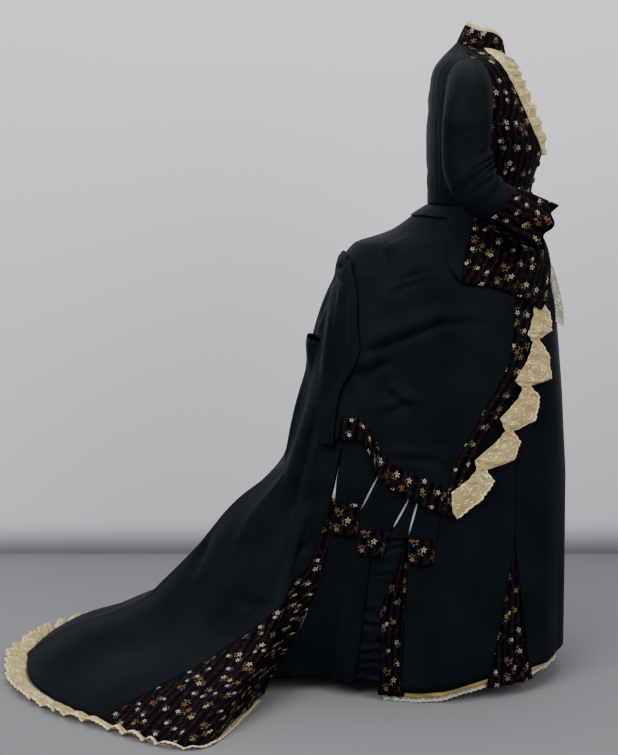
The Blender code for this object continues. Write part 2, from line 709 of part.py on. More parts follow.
def make_inset(word, side):
    def low(height):
        return edge_gore(INSET_FRONT, height) + 2 * GORE_GAP

    def high(height):
        return edge_gore(INSET_BACK, height) - 3 * GORE_GAP

    def flutes(gore, height):
        inside = ease((gore - low(height)) / 0.25) * ease((high(height) - gore) / 0.25)
        return train_folds(gore, height) + 0.003 * np.cos(gore * 9) * ease((0.35 - height) / 0.3) * inside

    panel(f"train_inset_{word}", low, high, TRAIN_HEIGHTS, 7, side, flutes, VELVET, velvet())


def train_edge(height):
    above = TRAIN_TOP_GORE + (5.94 - TRAIN_TOP_GORE) * ease((TRAIN_TOP - height) / (TRAIN_TOP - 0.50))
    return np.where(height > 0.44, above, edge_gore(INSET_BACK, height))


def make_train():
    def form(u, height):
        near = train_edge(height)
        place = (BACK - near) * np.abs(u)
        flare = TRAIN_FLARE * ease((1.5 - place) / 0.6) * ease((height - 0.63) / (TRAIN_TOP - 0.63)) ** 1.5
        box = TRAIN_BOX * ease((height - 0.40) / 0.06)
        return off_skirt(BACK + (BACK - near) * u, height, box + flare + train_folds(BACK - place, height))

    cloth("train", form, steps(-1, 1, 16), TRAIN_HEIGHTS + TRAIN_HEIGHTS_ABOVE, SILK, satin())


# Back fall: the looped drapery that hangs from the top of the bustle over the train's upper edge
FALL_TOP, FALL_FOOT = 0.918, 0.744
FALL_SIDE_TOP, FALL_SIDE_FOOT = 0.905, 0.530
FALL_KNOT = 0.008  # the puff where it is caught up at the top


def make_back_fall():
    def form(u, v):
        side_height = FALL_SIDE_FOOT + (FALL_SIDE_TOP - FALL_SIDE_FOOT) * v
        back_height = FALL_FOOT + (FALL_TOP - FALL_FOOT) * v
        near = edge_gore(FALL_EDGE, side_height)
        place = ease((np.abs(u) - 0.42) / 0.50)
        height = back_height + (side_height - back_height) * place
        gore = BACK + (BACK - near) * u
        flutes = 0.0025 * np.cos(u * np.pi * 6) * ease(1.2 - v)
        clear = np.abs(gore - BACK) + edge_gore(DRAPE_BACK, height) - BACK
        rise = FALL_OUT_BACK + (FALL_OUT - FALL_OUT_BACK) * ease((clear + 0.9) / 0.6)
        knot = FALL_KNOT * np.exp(-((u / 0.30) ** 2) - ((v - 0.90) / 0.12) ** 2)
        return off_skirt(gore, height, rise + flutes + knot)

    cloth("back_fall", form, steps(-1, 1, 16), steps(0, 1, 8), SILK, satin())


# Hip drapery looped up on each side, edged with velvet bands
BAND_SHARE = 0.060
HEM_BAND_SHARE = 0.085
DRAPE_ACROSS = (0, BAND_SHARE, 0.14, 0.23, 0.32, 0.41, 0.50, 0.59, 0.68, 0.77, 0.85, 0.93, 1)
DRAPE_UP = (0, HEM_BAND_SHARE, 0.17, 0.26, 0.35, 0.44, 0.53, 0.61, 0.69, 0.77, 0.85, 0.89, 0.93, 0.965, 1)
TROUGH_BY_FLOUNCE, TROUGH = -0.0045, -0.0090


def drape_place(share, v):
    """The place on the skirt under the drapery, share 0 at its front edge and 1 at its back edge."""
    share, v = flat(share, v)
    front = along_edge(DRAPE_FRONT, v)
    back = along_edge(DRAPE_BACK, v)
    hem = along_edge(DRAPE_HEM, share)
    corners = (DRAPE_FRONT[0], DRAPE_BACK[0], DRAPE_FRONT[-1], DRAPE_BACK[-1])
    place = []
    for axis, key in ((0, "gore"), (1, "height")):
        a, b, c, d = (getattr(corner, key) for corner in corners)
        top = c + (d - c) * share
        ruled = (1 - v) * hem[axis] + v * top + (1 - share) * front[axis] + share * back[axis]
        place.append(ruled - ((1 - v) * ((1 - share) * a + share * b) + v * ((1 - share) * c + share * d)))
    return place


def on_drape(side, share, v, out=0.0):
    gore, height = drape_place(share, v)
    base = off_skirt(side * gore, height, 0.0)
    rise = DRAPE_OUT_WAIST + (DRAPE_OUT - DRAPE_OUT_WAIST) * ease((WAIST_HEIGHT - height) / 0.10)
    puff = 0.005 * np.sin(np.pi * np.clip(share, 0, 1)) * ease((0.75 - height) / 0.2) * ease(v * 5)
    quiet = ease((share - 0.03) / 0.12) * ease(v * 6) * ease((1.0 - height) / 0.06)
    folds = creased(base, HIP_CREASES, side) * quiet
    deeper = ease((height - 0.62) / 0.04) * ease((0.97 - height) / 0.05)
    floor = TROUGH_BY_FLOUNCE + (TROUGH - TROUGH_BY_FLOUNCE) * deeper
    return off_skirt(side * gore, height, rise + puff + np.maximum(folds, floor) + out)


def drape_form(side, out=0.0):
    return lambda u, v: on_drape(side, u if side > 0 else 1 - u, v, out)


def across_for(side, shares):
    return shares if side > 0 else tuple(1 - share for share in reversed(shares))


def make_drape(word, side):
    cloth(f"hip_drape_{word}", drape_form(side), across_for(side, DRAPE_ACROSS), DRAPE_UP, SILK, satin())
    band = drape_form(side, SEAM_GAP + VELVET)
    front_rows = tuple(v for v in DRAPE_UP if v <= 0.80)
    hem_shares = tuple(share for share in DRAPE_ACROSS if BAND_SHARE <= share <= 0.93)
    cloth(f"front_band_{word}", band, across_for(side, (0, BAND_SHARE - 0.001)), front_rows, VELVET, velvet())
    cloth(f"hem_band_{word}", band, across_for(side, hem_shares), (0, HEM_BAND_SHARE), VELVET, velvet())


# Lace cascade outside the front band: flutes that fall in big zigzags
LACE_WAVES = 7.5
LACE_STEPS = 30
LACE_WIDTH = 0.55  # widest reach, in gores
LACE_RUN = 0.74  # share of the drapery's front edge that it follows
LACE_DEPTH = 0.0085
LACE_GAP = 0.016


def make_cascade(word, side):
    def form(u, v):
        share = u if side > 0 else 1 - u
        gore, height = along_edge(DRAPE_FRONT, v * LACE_RUN)
        phase = v * LACE_WAVES * 2 * np.pi
        swell = 0.70 + 0.5 * np.sin(np.pi * (0.15 + 0.8 * v))
        width = LACE_WIDTH * (0.62 + 0.38 * np.sin(phase + 1.0)) * swell
        droop = (0.020 * np.sin(phase - 0.6) - 0.012) * (1 - share)
        out = DRAPE_OUT - 0.001 + LACE_DEPTH * np.sin(phase) * (1 - share) * ease((1 - v) * 5.5)
        return off_skirt(side * (gore - LACE_GAP - width * (1 - share)), height + droop, out)

    cloth(f"lace_cascade_{word}", form, steps(0, 1, 2), steps(0.0, 1, LACE_STEPS), LACE, cream_lace())


# Flounce of square tabs below the drapery's hem band, ending in velvet, with pale lining between
Tab = namedtuple("Tab", "name head_front head_back foot_front foot_back foot velvet_top")
TABS = (
    Tab("front", 3.32, 3.86, 3.44, 4.08, 0.288, 0.343),
    Tab("slim", 3.94, 4.08, 4.16, 4.40, 0.345, None),
    Tab("middle", 4.17, 4.76, 4.50, 5.06, 0.303, 0.360),
    Tab("back", 4.87, 5.88, 5.20, 5.70, 0.345, 0.415),
)
TAB_HEAD = 0.050  # how far a tab runs up behind the drapery
LINING_GORES = (3.78, 4.00, 5.00, 5.90)
LINING_FEET = (0.352, 0.352, 0.400, 0.425)


def drape_hem_height(gore):
    return np.interp(gore, [row.gore for row in DRAPE_HEM], [row.height for row in DRAPE_HEM])


def tab_top(tab):
    return drape_hem_height((tab.head_front + tab.head_back) / 2) + TAB_HEAD


def on_tab(tab, side, share, height):
    """A tab slants back as it falls; its sides run straight between the head's and the foot's gores."""
    rise = (height - tab.foot) / (tab_top(tab) - tab.foot)
    front = tab.foot_front + (tab.head_front - tab.foot_front) * rise
    back = tab.foot_back + (tab.head_back - tab.foot_back) * rise
    return off_skirt(side * (front + (back - front) * share), height, FLOUNCE_OUT)


def make_flounce(word, side):
    for tab in TABS:
        top, foot = tab_top(tab), tab.velvet_top or tab.foot
        columns = 3 if tab.velvet_top else 2

        def form(u, height, tab=tab):
            return on_tab(tab, side, u if side > 0 else 1 - u, height)

        name = f"flounce_tab_{tab.name}_{word}"
        cloth(name, form, steps(0, 1, columns), steps(foot, top, 2), SILK, satin())
        if tab.velvet_top:
            heights = (tab.foot, tab.velvet_top - SEAM_GAP)
            cloth(f"tab_velvet_{tab.name}_{word}", form, steps(0, 1, columns), heights, SILK, velvet())

    def lining(u, v):
        gore = LINING_GORES[0] + (LINING_GORES[-1] - LINING_GORES[0]) * (u if side > 0 else 1 - u)
        top = drape_hem_height(gore) + TAB_HEAD / 2
        foot = np.interp(gore, LINING_GORES, LINING_FEET)
        return off_skirt(side * gore, foot + (top - foot) * v, LINING_OUT)

    pale = material("pale_blue_silk", PALE_LINING, 0.6)
    cloth(f"flounce_lining_{word}", lining, steps(0, 1, 8), (0, 1), LACE, pale)


# Streamers of lace and ribbon at the centre front, between the basque's points
STREAMER_FOOT, STREAMER_TOP, STREAMER_OUT = 0.775, 0.955, 0.0110


def make_streamers():
    def form(u, v):
        height = STREAMER_FOOT + (STREAMER_TOP - STREAMER_FOOT) * v
        hang = ease((1 - v) * 2.5)
        out = SEAM_GAP + LACE + (STREAMER_OUT + 0.0040 * np.cos(u * np.pi * 3)) * hang
        return off_skirt(u * (0.55 + 0.35 * (1 - v)), height, out)

    cloth("front_streamers", form, steps(-1, 1, 12), steps(0, 1, 3), LACE, white_lace())


# Hem: gold silk facing showing under the satin, and lace below it; a thick lace ruffle round the train
def make_hem():
    def facing(u, v):
        return off_skirt(u, hung(u, 0.0095 + 0.030 * v), -0.0065)

    def lace(u, v):
        wave = 0.0018 * np.cos(u * 2 * np.pi * 2.35)
        return off_skirt(u, hung(u, 0.0005 + 0.026 * v), -0.0107 + wave * (1 - v))

    reach = GATHER_END
    gold = material("gold_silk", GOLD_SILK, 0.45)
    cloth("hem_facing", facing, steps(-reach, reach, 22), (0, 1), LACE, gold)
    cloth("hem_lace", lace, steps(-reach, reach, 66), (0, 1), LACE, white_lace())


def make_train_ruffle():
    """Lace gathered under the train's hem, deep round the tail and shallow along the velvet insets."""
    first, waves = 6.20, 44

    def form(u, v):
        gore = first + (2 * BACK - 2 * first) * u
        edge = on_skirt(gore, 0.0)
        ahead = on_skirt(gore + 0.02, 0.0) - on_skirt(gore - 0.02, 0.0)
        away = np.stack([ahead[:, 1], -ahead[:, 0], 0 * gore], 1)
        away /= np.linalg.norm(away, axis=1, keepdims=True)
        place = np.abs(gore - BACK)
        reach = 0.010 + 0.030 * ease((2.9 - place) / 1.6)
        wave = 0.5 + 0.5 * np.cos(u * waves * 2 * np.pi)
        level = 0.0012 + (0.003 + 0.010 * wave) * (v > 0.5) * ease((3.4 - place) / 1.2 + 0.3)
        spread = -0.006 + (reach * (0.85 + 0.15 * wave) + 0.006) * v
        points = edge + away * spread[:, None]
        points[:, 2] = level + 0.0012
        return points

    cloth("train_ruffle", form, steps(0, 1, waves * 2), (0, 1), LACE, cream_lace(), flip=True)


def main():
    for thing in list(bpy.data.objects):
        bpy.data.objects.remove(thing)
    make_collar()
    make_collar_frill()
    for number, ring in enumerate(BUTTON_RINGS, 1):
        make_button(number, ring)
    make_streamers()
    make_underskirt_front()
    make_train()
    make_back_fall()
    make_hem()
    make_train_ruffle()
    for word, side in SIDES.items():
        make_bodice_front(word, side)
        make_bodice_back(word, side)
        make_jabot(word, side)
        make_sleeve(word, side)
        make_cuff(word, side)
        make_underskirt_side(word, side)
        for godet in GODETS:
            make_godet(godet, word, side)
        make_gathered_strip(word, side)
        make_side_back(word, side)
        make_inset(word, side)
        make_drape(word, side)
        make_cascade(word, side)
        make_flounce(word, side)


main()
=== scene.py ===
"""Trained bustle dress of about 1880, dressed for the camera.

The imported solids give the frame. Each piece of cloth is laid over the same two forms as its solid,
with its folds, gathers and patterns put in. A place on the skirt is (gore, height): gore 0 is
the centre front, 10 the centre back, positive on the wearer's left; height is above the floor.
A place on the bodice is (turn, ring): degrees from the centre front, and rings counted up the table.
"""

from collections import namedtuple

import bmesh
import bpy
import numpy as np
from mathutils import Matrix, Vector


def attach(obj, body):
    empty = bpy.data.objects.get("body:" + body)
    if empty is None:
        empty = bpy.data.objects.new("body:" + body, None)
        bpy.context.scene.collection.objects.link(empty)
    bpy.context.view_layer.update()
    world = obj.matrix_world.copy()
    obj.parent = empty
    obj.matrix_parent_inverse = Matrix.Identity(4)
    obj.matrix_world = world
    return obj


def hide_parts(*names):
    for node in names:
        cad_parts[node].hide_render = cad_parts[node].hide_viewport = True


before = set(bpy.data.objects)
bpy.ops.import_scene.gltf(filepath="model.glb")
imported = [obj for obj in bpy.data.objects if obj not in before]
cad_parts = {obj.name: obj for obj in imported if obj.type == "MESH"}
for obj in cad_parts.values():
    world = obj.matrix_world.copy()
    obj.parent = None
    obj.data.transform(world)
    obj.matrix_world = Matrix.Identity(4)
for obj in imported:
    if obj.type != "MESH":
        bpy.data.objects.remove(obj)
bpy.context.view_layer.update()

# Underskirt: a front and two side panels of black silk satin, cut to hang from the waist over the
# bustle's petticoat and joined by long seams. Soft flutes open down it towards the hem.
HELD_HEIGHT = 1.340
WAIST_HEIGHT = 1.030
KNEE_HEIGHT = 0.450
BACK = 10.0
SILK, VELVET, LACE = 0.0014, 0.0018, 0.0010
SEAM_GAP = 0.0003
GORE_WIDTH = 0.045
BASQUE_OUT_WAIST = 0.0064
SIDES = {"right": -1, "left": 1}

Ring = namedtuple("Ring", "name front_z side_z back_z half_width front_y side_y back_y")
RINGS = (
    Ring("waist", 1.030, 1.030, 1.030, 0.120, -0.100, 0.015, 0.123),
    Ring("midriff", 1.090, 1.090, 1.090, 0.136, -0.108, 0.018, 0.124),
    Ring("bust", 1.160, 1.160, 1.160, 0.156, -0.126, 0.022, 0.125),
    Ring("chest", 1.230, 1.225, 1.230, 0.166, -0.104, 0.030, 0.124),
    Ring("upper chest", 1.290, 1.290, 1.290, 0.164, -0.078, 0.035, 0.120),
    Ring("shoulder", 1.325, 1.335, 1.335, 0.142, -0.060, 0.036, 0.108),
    Ring("neck", 1.345, 1.366, 1.384, 0.062, -0.045, 0.012, 0.063),
)
NECK = len(RINGS) - 1

Seam = namedtuple("Seam", "name turn shelf hip thigh knee hem train late")
SEAMS = (
    Seam("centre front", 0, (0, -0.126), (0, -0.152), (0, -0.180), (0, -0.194), (0, -0.191), 0, 1.0),
    Seam(
        "front quarter", 32, (0.085, -0.106), (0.102, -0.126), (0.118, -0.150), (0.132, -0.163),
        (0.155, -0.163), 0, 1.0,
    ),
    Seam(
        "side front", 62, (0.140, -0.042), (0.165, -0.046), (0.192, -0.058), (0.216, -0.064),
        (0.268, -0.058), 0, 1.0,
    ),
    Seam("side", 90, (0.158, 0.032), (0.188, 0.042), (0.220, 0.052), (0.250, 0.062), (0.318, 0.100), 0, 1.0),
    Seam(
        "kick pleat", 112, (0.156, 0.094), (0.190, 0.118), (0.226, 0.142), (0.258, 0.164),
        (0.304, 0.215), 0, 1.0,
    ),
    Seam(
        "side back", 128, (0.145, 0.152), (0.180, 0.188), (0.218, 0.224), (0.250, 0.260),
        (0.262, 0.320), 0, 1.0,
    ),
    Seam(
        "inset front", 142, (0.124, 0.202), (0.160, 0.246), (0.196, 0.292), (0.230, 0.336),
        (0.250, 0.465), 0.3, 1.2,
    ),
    Seam(
        "inset middle", 152, (0.098, 0.236), (0.128, 0.284), (0.158, 0.338), (0.188, 0.392),
        (0.560, 0.600), 1, 1.5,
    ),
    Seam(
        "inset back", 161, (0.068, 0.258), (0.088, 0.307), (0.108, 0.366), (0.128, 0.421),
        (0.420, 0.820), 1, 1.4,
    ),
    Seam(
        "tail", 170, (0.034, 0.270), (0.044, 0.318), (0.054, 0.380), (0.064, 0.433),
        (0.215, 0.990), 1, 1.15,
    ),
    Seam("centre back", 180, (0, 0.275), (0, 0.322), (0, 0.384), (0, 0.437), (0, 1.040), 1, 1.0),
)
LEVELS = {"knee": KNEE_HEIGHT, "thigh": 0.660, "hip": 0.860, "shelf": 0.940}
BACK_HOLLOW = 0.034

Sweep = namedtuple("Sweep", "height out")
TRAIN = (
    Sweep(0.450, 0.000), Sweep(0.377, 0.165), Sweep(0.249, 0.343), Sweep(0.178, 0.455),
    Sweep(0.131, 0.540), Sweep(0.100, 0.650), Sweep(0.065, 0.820), Sweep(0.030, 0.930), Sweep(0, 1),
)


def smooth(knots, rows, at):
    """Reads a table as one smooth curve. Each row may be one number, or one for each place asked for."""
    knots, rows = np.asarray(knots, float), np.asarray(rows, float)
    at = np.clip(np.atleast_1d(np.asarray(at, float)), knots[0], knots[-1])
    slopes = np.gradient(rows, knots, axis=0)
    row = np.clip(np.searchsorted(knots, at, side="right") - 1, 0, len(knots) - 2)
    step = knots[row + 1] - knots[row]
    t = (at - knots[row]) / step

    def pick(table, index):
        return table[index] if table.ndim == 1 else table[index, np.arange(len(at))]

    return (
        pick(rows, row) * (1 - t) ** 2 * (1 + 2 * t)
        + pick(rows, row + 1) * t**2 * (3 - 2 * t)
        + step * (pick(slopes, row) * t * (1 - t) ** 2 - pick(slopes, row + 1) * t**2 * (1 - t))
    )


def flat(first, second):
    return np.broadcast_arrays(*(np.atleast_1d(np.asarray(value, float)) for value in (first, second)))


def ease(x):
    x = np.clip(x, 0, 1)
    return x * x * (3 - 2 * x)


def steps(start, end, count):
    return np.linspace(start, end, count + 1)


def on_rings(turn, ring):
    """The bodice's outer face."""
    turn, ring = flat(turn, ring)
    turn = (turn + 180) % 360 - 180

    def column(name):
        return smooth(range(len(RINGS)), [getattr(row, name) for row in RINGS], ring)

    forward = np.cos(np.radians(turn))
    across = np.sin(np.radians(np.abs(turn)))
    front, side, back = column("front_y"), column("side_y"), column("back_y")
    low, mid, high = column("front_z"), column("side_z"), column("back_z")
    x = column("half_width") * np.abs(across) ** 0.9 * np.sign(turn)
    y = side + np.where(forward > 0, front - side, back - side) * np.abs(forward)
    z = mid + np.where(forward > 0, low - mid, high - mid) * forward**2
    return np.stack([x, y, z], 1)


def skirt_waist(turn):
    x, y = on_rings(turn, 0)[0, :2]
    keep = 1 - BASQUE_OUT_WAIST / np.hypot(x, y - RINGS[0].side_y)
    return x * keep, RINGS[0].side_y + (y - RINGS[0].side_y) * keep


def on_skirt(gore, height):
    """The underskirt's outer face, from the waist to the floor."""
    gore, height = flat(gore, height)
    gore = (gore + BACK) % (2 * BACK) - BACK
    drops = [KNEE_HEIGHT - row.height for row in TRAIN]
    sweep = smooth(drops, [row.out for row in TRAIN], KNEE_HEIGHT - height)
    fall = np.clip((KNEE_HEIGHT - height) / KNEE_HEIGHT, 0, 1)
    above = np.maximum(height, KNEE_HEIGHT)
    climb = np.clip((height - LEVELS["shelf"]) / (WAIST_HEIGHT - LEVELS["shelf"]), 0, 1)
    hollow = BACK_HOLLOW * np.sin(np.pi * climb**0.6) ** 2
    shelf = SEAMS[-1].shelf[1] - skirt_waist(SEAMS[-1].turn)[1]
    knots = [*LEVELS.values(), WAIST_HEIGHT]
    plan = np.zeros((2, len(SEAMS), len(gore)))
    for row, seam in enumerate(SEAMS):
        out = fall * (1 - seam.train) + np.clip(sweep, 0, 1) ** seam.late * seam.train
        waist = skirt_waist(seam.turn)
        for axis in (0, 1):
            up = smooth(knots, [*(getattr(seam, level)[axis] for level in LEVELS), waist[axis]], above)
            up -= hollow * axis * np.maximum(seam.shelf[1] - waist[1], 0) / shelf
            down = seam.knee[axis] + (seam.hem[axis] - seam.knee[axis]) * out
            plan[axis, row] = np.where(height >= KNEE_HEIGHT, up, down)
    x, y = (smooth(range(len(SEAMS)), plan[axis], np.abs(gore)) for axis in (0, 1))
    return np.stack([x * np.where(gore < 0, -1, 1), y, height], 1)


def outward(form, across, up, reach=(0.02, 0.004)):
    along = form(across + reach[0], up) - form(across - reach[0], up)
    rise = form(across, up + reach[1]) - form(across, up - reach[1])
    found = np.cross(along, rise)
    return found / np.linalg.norm(found, axis=1, keepdims=True)


def off_skirt(gore, height, out):
    gore, height = flat(gore, height)
    facing = outward(on_skirt, gore, np.clip(height, 0.006, WAIST_HEIGHT - 0.010))
    return on_skirt(gore, height) + facing * np.reshape(out, (-1, 1))


# A fold in the cloth: a line of places (gore, height), its depth, and its width. The cloth bulges along the
# line's upper side (its left side, if it falls straight down) and dips sharply along the other.
Crease = namedtuple("Crease", "line depth width")


def creased(gore, height, creases, shift=(0, 0)):
    """How far out the folds of a table push each place."""
    at = np.stack([np.abs(gore) * GORE_WIDTH, height], 1)
    out = np.zeros(len(at))
    for crease in creases:
        line = (np.array(crease.line) + shift) * (GORE_WIDTH, 1)
        lengths = np.linalg.norm(np.diff(line, axis=0), axis=1)
        done = np.concatenate([[0], np.cumsum(lengths)]) / lengths.sum()
        turn = -1 if line[-1][0] > line[0][0] else 1
        nearest, share, over = np.full(len(at), np.inf), np.zeros(len(at)), np.zeros(len(at))
        for row, (low, high) in enumerate(zip(line, line[1:])):
            run = high - low
            part = np.clip((at - low) @ run / (run @ run), 0, 1)
            away = at - low - part[:, None] * run
            distance = np.linalg.norm(away, axis=1)
            left = turn * (run[1] * away[:, 0] - run[0] * away[:, 1])
            closer = distance < nearest
            nearest[closer] = distance[closer]
            share[closer] = (done[row] + (done[row + 1] - done[row]) * part)[closer]
            over[closer] = (distance * np.tanh(left / np.linalg.norm(run) / 0.0008))[closer]
        scaled = over / (crease.width * np.where(over > 0, 1.5, 0.6))
        taper = np.sin(np.pi * share) ** 1.4
        out += crease.depth * taper * scaled * np.exp(0.5 - 0.5 * scaled**2)
    return out


def fluted(gore, height, flutes):
    """Soft upright folds: each row is gore, width in gores, depth, and the height where it dies away."""
    out = np.zeros(np.shape(gore))
    for place, width, depth, top in flutes:
        out = out + depth * np.exp(-(((gore - place) / width) ** 2)) * ease((top - height) / top)
    return out


def linear(code):
    """An sRGB hex value as a linear colour."""
    parts = (int(code[place : place + 2], 16) / 255 for place in (1, 3, 5))
    return (*((part / 12.92) if part <= 0.04045 else ((part + 0.055) / 1.055) ** 2.4 for part in parts), 1)


def node(tree, kind, inputs=None, **settings):
    """Adds a node with its settings, and links or sets its inputs."""
    made = tree.nodes.new(kind)
    for key, value in settings.items():
        setattr(made, key, value)
    for socket, value in (inputs or {}).items():
        if isinstance(value, bpy.types.NodeSocket):
            tree.links.new(value, made.inputs[socket])
        else:
            made.inputs[socket].default_value = value
    return made


def finish_of(name, roughness, sheen=0.0, sheen_tint="#ffffff", sheen_roughness=0.5, specular=0.5):
    """A new material with its shader's own values set, and the cloth's UV in metres."""
    made = bpy.data.materials.new(name)
    made.use_nodes = True
    shader = made.node_tree.nodes["Principled BSDF"]
    shader.inputs["Roughness"].default_value = roughness
    shader.inputs["Sheen Weight"].default_value = sheen
    shader.inputs["Sheen Tint"].default_value = linear(sheen_tint)
    shader.inputs["Sheen Roughness"].default_value = sheen_roughness
    shader.inputs["Specular IOR Level"].default_value = specular
    place = made.node_tree.nodes.new("ShaderNodeTexCoord").outputs["UV"]
    return made, made.node_tree, shader, place


def blend(tree, share, low, high):
    """One colour fading into another, each a hex value or another node's output."""
    low, high = (linear(tone) if isinstance(tone, str) else tone for tone in (low, high))
    return node(tree, "ShaderNodeMix", {0: share, 6: low, 7: high}, data_type="RGBA").outputs[2]


def ramp(tree, value, *ends):
    """A colour for each value, between two ends that are each a place and a hex value."""
    made = node(tree, "ShaderNodeValToRGB", {"Fac": value})
    for stop, (place, code) in zip(made.color_ramp.elements, ends):
        stop.position, stop.color = place, linear(code)
    return made.outputs["Color"]


def bump(tree, shader, height, strength, distance, under=None):
    """Raises the surface by a height, over the bump under it if there is one."""
    inputs = {"Height": height, "Strength": strength, "Distance": distance}
    if under is not None:
        inputs["Normal"] = under
    normal = node(tree, "ShaderNodeBump", inputs).outputs["Normal"]
    tree.links.new(normal, shader.inputs["Normal"])
    return normal


def silk_satin():
    """Silk satin, woven with floats of about 0.1 mm, too fine to show: drawn as a faint 2 mm rib, with the
    soft crushing of a heavy old silk, which breaks the blue-green lustre of its black."""
    made, tree, shader, place = finish_of("black_silk_satin", 0.52, specular=0.025)
    crush = node(tree, "ShaderNodeTexNoise", {"Vector": place, "Scale": 9.0, "Detail": 3.0, "Roughness": 0.5})
    tones = ramp(tree, crush.outputs["Fac"], (0.35, "#0b1013"), (0.70, "#12171a"))
    tree.links.new(tones, shader.inputs["Base Color"])
    drawn_out = node(tree, "ShaderNodeMapping", {"Vector": place, "Scale": (60.0, 14.0, 1.0)}).outputs[0]
    wrinkle = node(tree, "ShaderNodeTexNoise", {"Vector": drawn_out, "Scale": 1.0, "Detail": 2.0})
    rib = node(
        tree, "ShaderNodeTexWave", {"Vector": place, "Scale": 80.0, "Distortion": 1.5}, bands_direction="Y"
    )
    low = bump(tree, shader, wrinkle.outputs["Fac"], 0.30, 0.0012)
    bump(tree, shader, rib.outputs["Fac"], 0.12, 0.0002, low)
    return made


SATIN = silk_satin()
# Walls by finish, every other cloth being as thin as lace
WALLS = {"black_silk_satin": SILK, "flowered_velvet": VELVET}
# The least of the rectangle round its flat shape that a piece is taken to fill
LEAST_AREA = 0.3


def lace_grain(net, edge):
    """UV in metres along a lace's free edge, the foot, start or end of its net, and in from that edge."""
    laid = net if edge == "foot" else net.transpose(1, 0, 2)
    laid = laid[::-1] if edge == "end" else laid
    middle = np.diff(laid[len(laid) // 2], axis=0)
    along = np.concatenate([[0], np.cumsum(np.linalg.norm(middle, axis=1))])
    away = np.cumsum(np.linalg.norm(np.diff(laid, axis=0), axis=2), 0)
    away = np.concatenate([0 * laid[:1, :, 0], away])
    grain = np.stack([along + 0 * away, away], 2)
    grain = grain[::-1] if edge == "end" else grain
    return grain if edge == "foot" else grain.transpose(1, 0, 2)


def placed(name, data):
    """A new object in the scene."""
    made = bpy.data.objects.new(name, data)
    bpy.context.scene.collection.objects.link(made)
    return made


def cloth(
    name, form, across, up, finish, wall=None, ring=False, flip=False, edge=None
):
    """A wall of cloth with form(u, v) as its outer face, in place of the solid of its name. Its UV runs in
    metres across and along the grain or, on lace, along its free edge and in from it."""
    mesh = bmesh.new()
    bmesh.ops.create_grid(mesh, x_segments=len(across) - 1, y_segments=len(up) - 1, size=0.5)
    mesh.verts.ensure_lookup_table()
    u, v = np.meshgrid(across, up)
    places = form(u.ravel(), v.ravel()) - (0, 0, HELD_HEIGHT)
    net = places.reshape(*u.shape, 3)
    widths = np.linalg.norm(np.diff(net, axis=1), axis=2)
    lengths = np.linalg.norm(np.diff(net, axis=0), axis=2)
    if edge is None:
        wide = np.concatenate([np.zeros((len(up), 1)), np.cumsum(widths, 1)], 1)
        wide -= wide[:, [len(across) // 2]]
        long = np.concatenate([[0], np.cumsum(lengths[:, len(across) // 2])])[:, None] + 0 * u
        grain = np.stack([wide, long], 2).reshape(-1, 2)
    else:
        grain = lace_grain(net, edge).reshape(-1, 2)
    for vertex, place in zip(mesh.verts, places.tolist()):
        vertex.co = place
    layer = mesh.loops.layers.uv.new("UVMap")
    for face in mesh.faces:
        for loop in face.loops:
            loop[layer].uv = grain[loop.vert.index]
    area = sum(face.calc_area() for face in mesh.faces)
    if ring:
        bmesh.ops.remove_doubles(mesh, verts=mesh.verts, dist=1e-6)
    if flip:
        bmesh.ops.reverse_faces(mesh, faces=mesh.faces)
    data = bpy.data.meshes.new(name)
    mesh.to_mesh(data)
    mesh.free()
    data.shade_smooth()
    data.materials.append(finish)
    piece = placed(name, data)
    thickness = piece.modifiers.new("wall", "SOLIDIFY")
    slot = finish.name.split(".")[0]
    thickness.thickness, thickness.offset = wall or WALLS.get(slot, LACE), -1
    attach(piece, "root")
    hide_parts(name)
    width, length = widths.sum(1).max(), lengths.sum(0).max()
    area = float(np.clip(area, LEAST_AREA * width * length, width * length))
    return piece


Godet = namedtuple("Godet", "name centre reach top foot pleats columns spill")
GODETS = (
    Godet("front_godet", 2.08, 0.355, 0.330, 0.026, 3.5, 50, 0),
    Godet("kick_godet", 4.02, 0.215, 0.400, 0.012, 2.5, 50, 0.24),
)
FRONT_GODET, KICK_GODET = GODETS
HEM_HEIGHT, UNDERSKIRT_TOP = 0.022, 1.022
# How far the hem rises off the floor at each gore; the lift dies away up the skirt
HEM_LIFT = ((0, 0.044), (1, 0.036), (1.72, 0.030), (2.45, 0.024), (3.05, 0.003), (3.60, 0))
LIFT_TOP = 0.160
GORE_GAP = 0.0036
FRONT_FLUTES = ((0.55, 0.22, 0.0050, 0.80), (1.45, 0.16, 0.0060, 0.72), (0.98, 0.14, -0.0040, 0.66))
SIDE_FLUTES = ((2.85, 0.16, 0.0060, 0.70), (3.42, 0.14, 0.0045, 0.60), (3.12, 0.12, -0.0040, 0.55))


def hung(gore, height):
    """The height of a place near the hem, once the hem is lifted."""
    lift = np.interp(np.abs(gore), *zip(*HEM_LIFT))
    return height + lift * np.clip((LIFT_TOP - height) / (LIFT_TOP - HEM_HEIGHT), 0, 1)


def godet_edge(godet, height, way):
    rise = np.clip((height - HEM_HEIGHT) / (godet.top - HEM_HEIGHT), 0, 1)
    return godet.centre + way * (godet.reach * (1 - rise) + GORE_GAP)


def from_front(u, side):
    """A mirrored piece's u, counted from its front edge on either side."""
    return u if side > 0 else 1 - u


def panel(name, low, high, heights, columns, side, out, finish, lifted=False):
    """A panel of the skirt between two edges, each a function of height, on one side."""

    def form(u, height):
        share = from_front(u, side)
        if lifted:
            height = hung(low(height) + (high(height) - low(height)) * share, height)
        gore = low(height) + (high(height) - low(height)) * share
        return off_skirt(side * gore, height, out(gore, height))

    return cloth(name, form, steps(0, 1, columns), heights, finish)


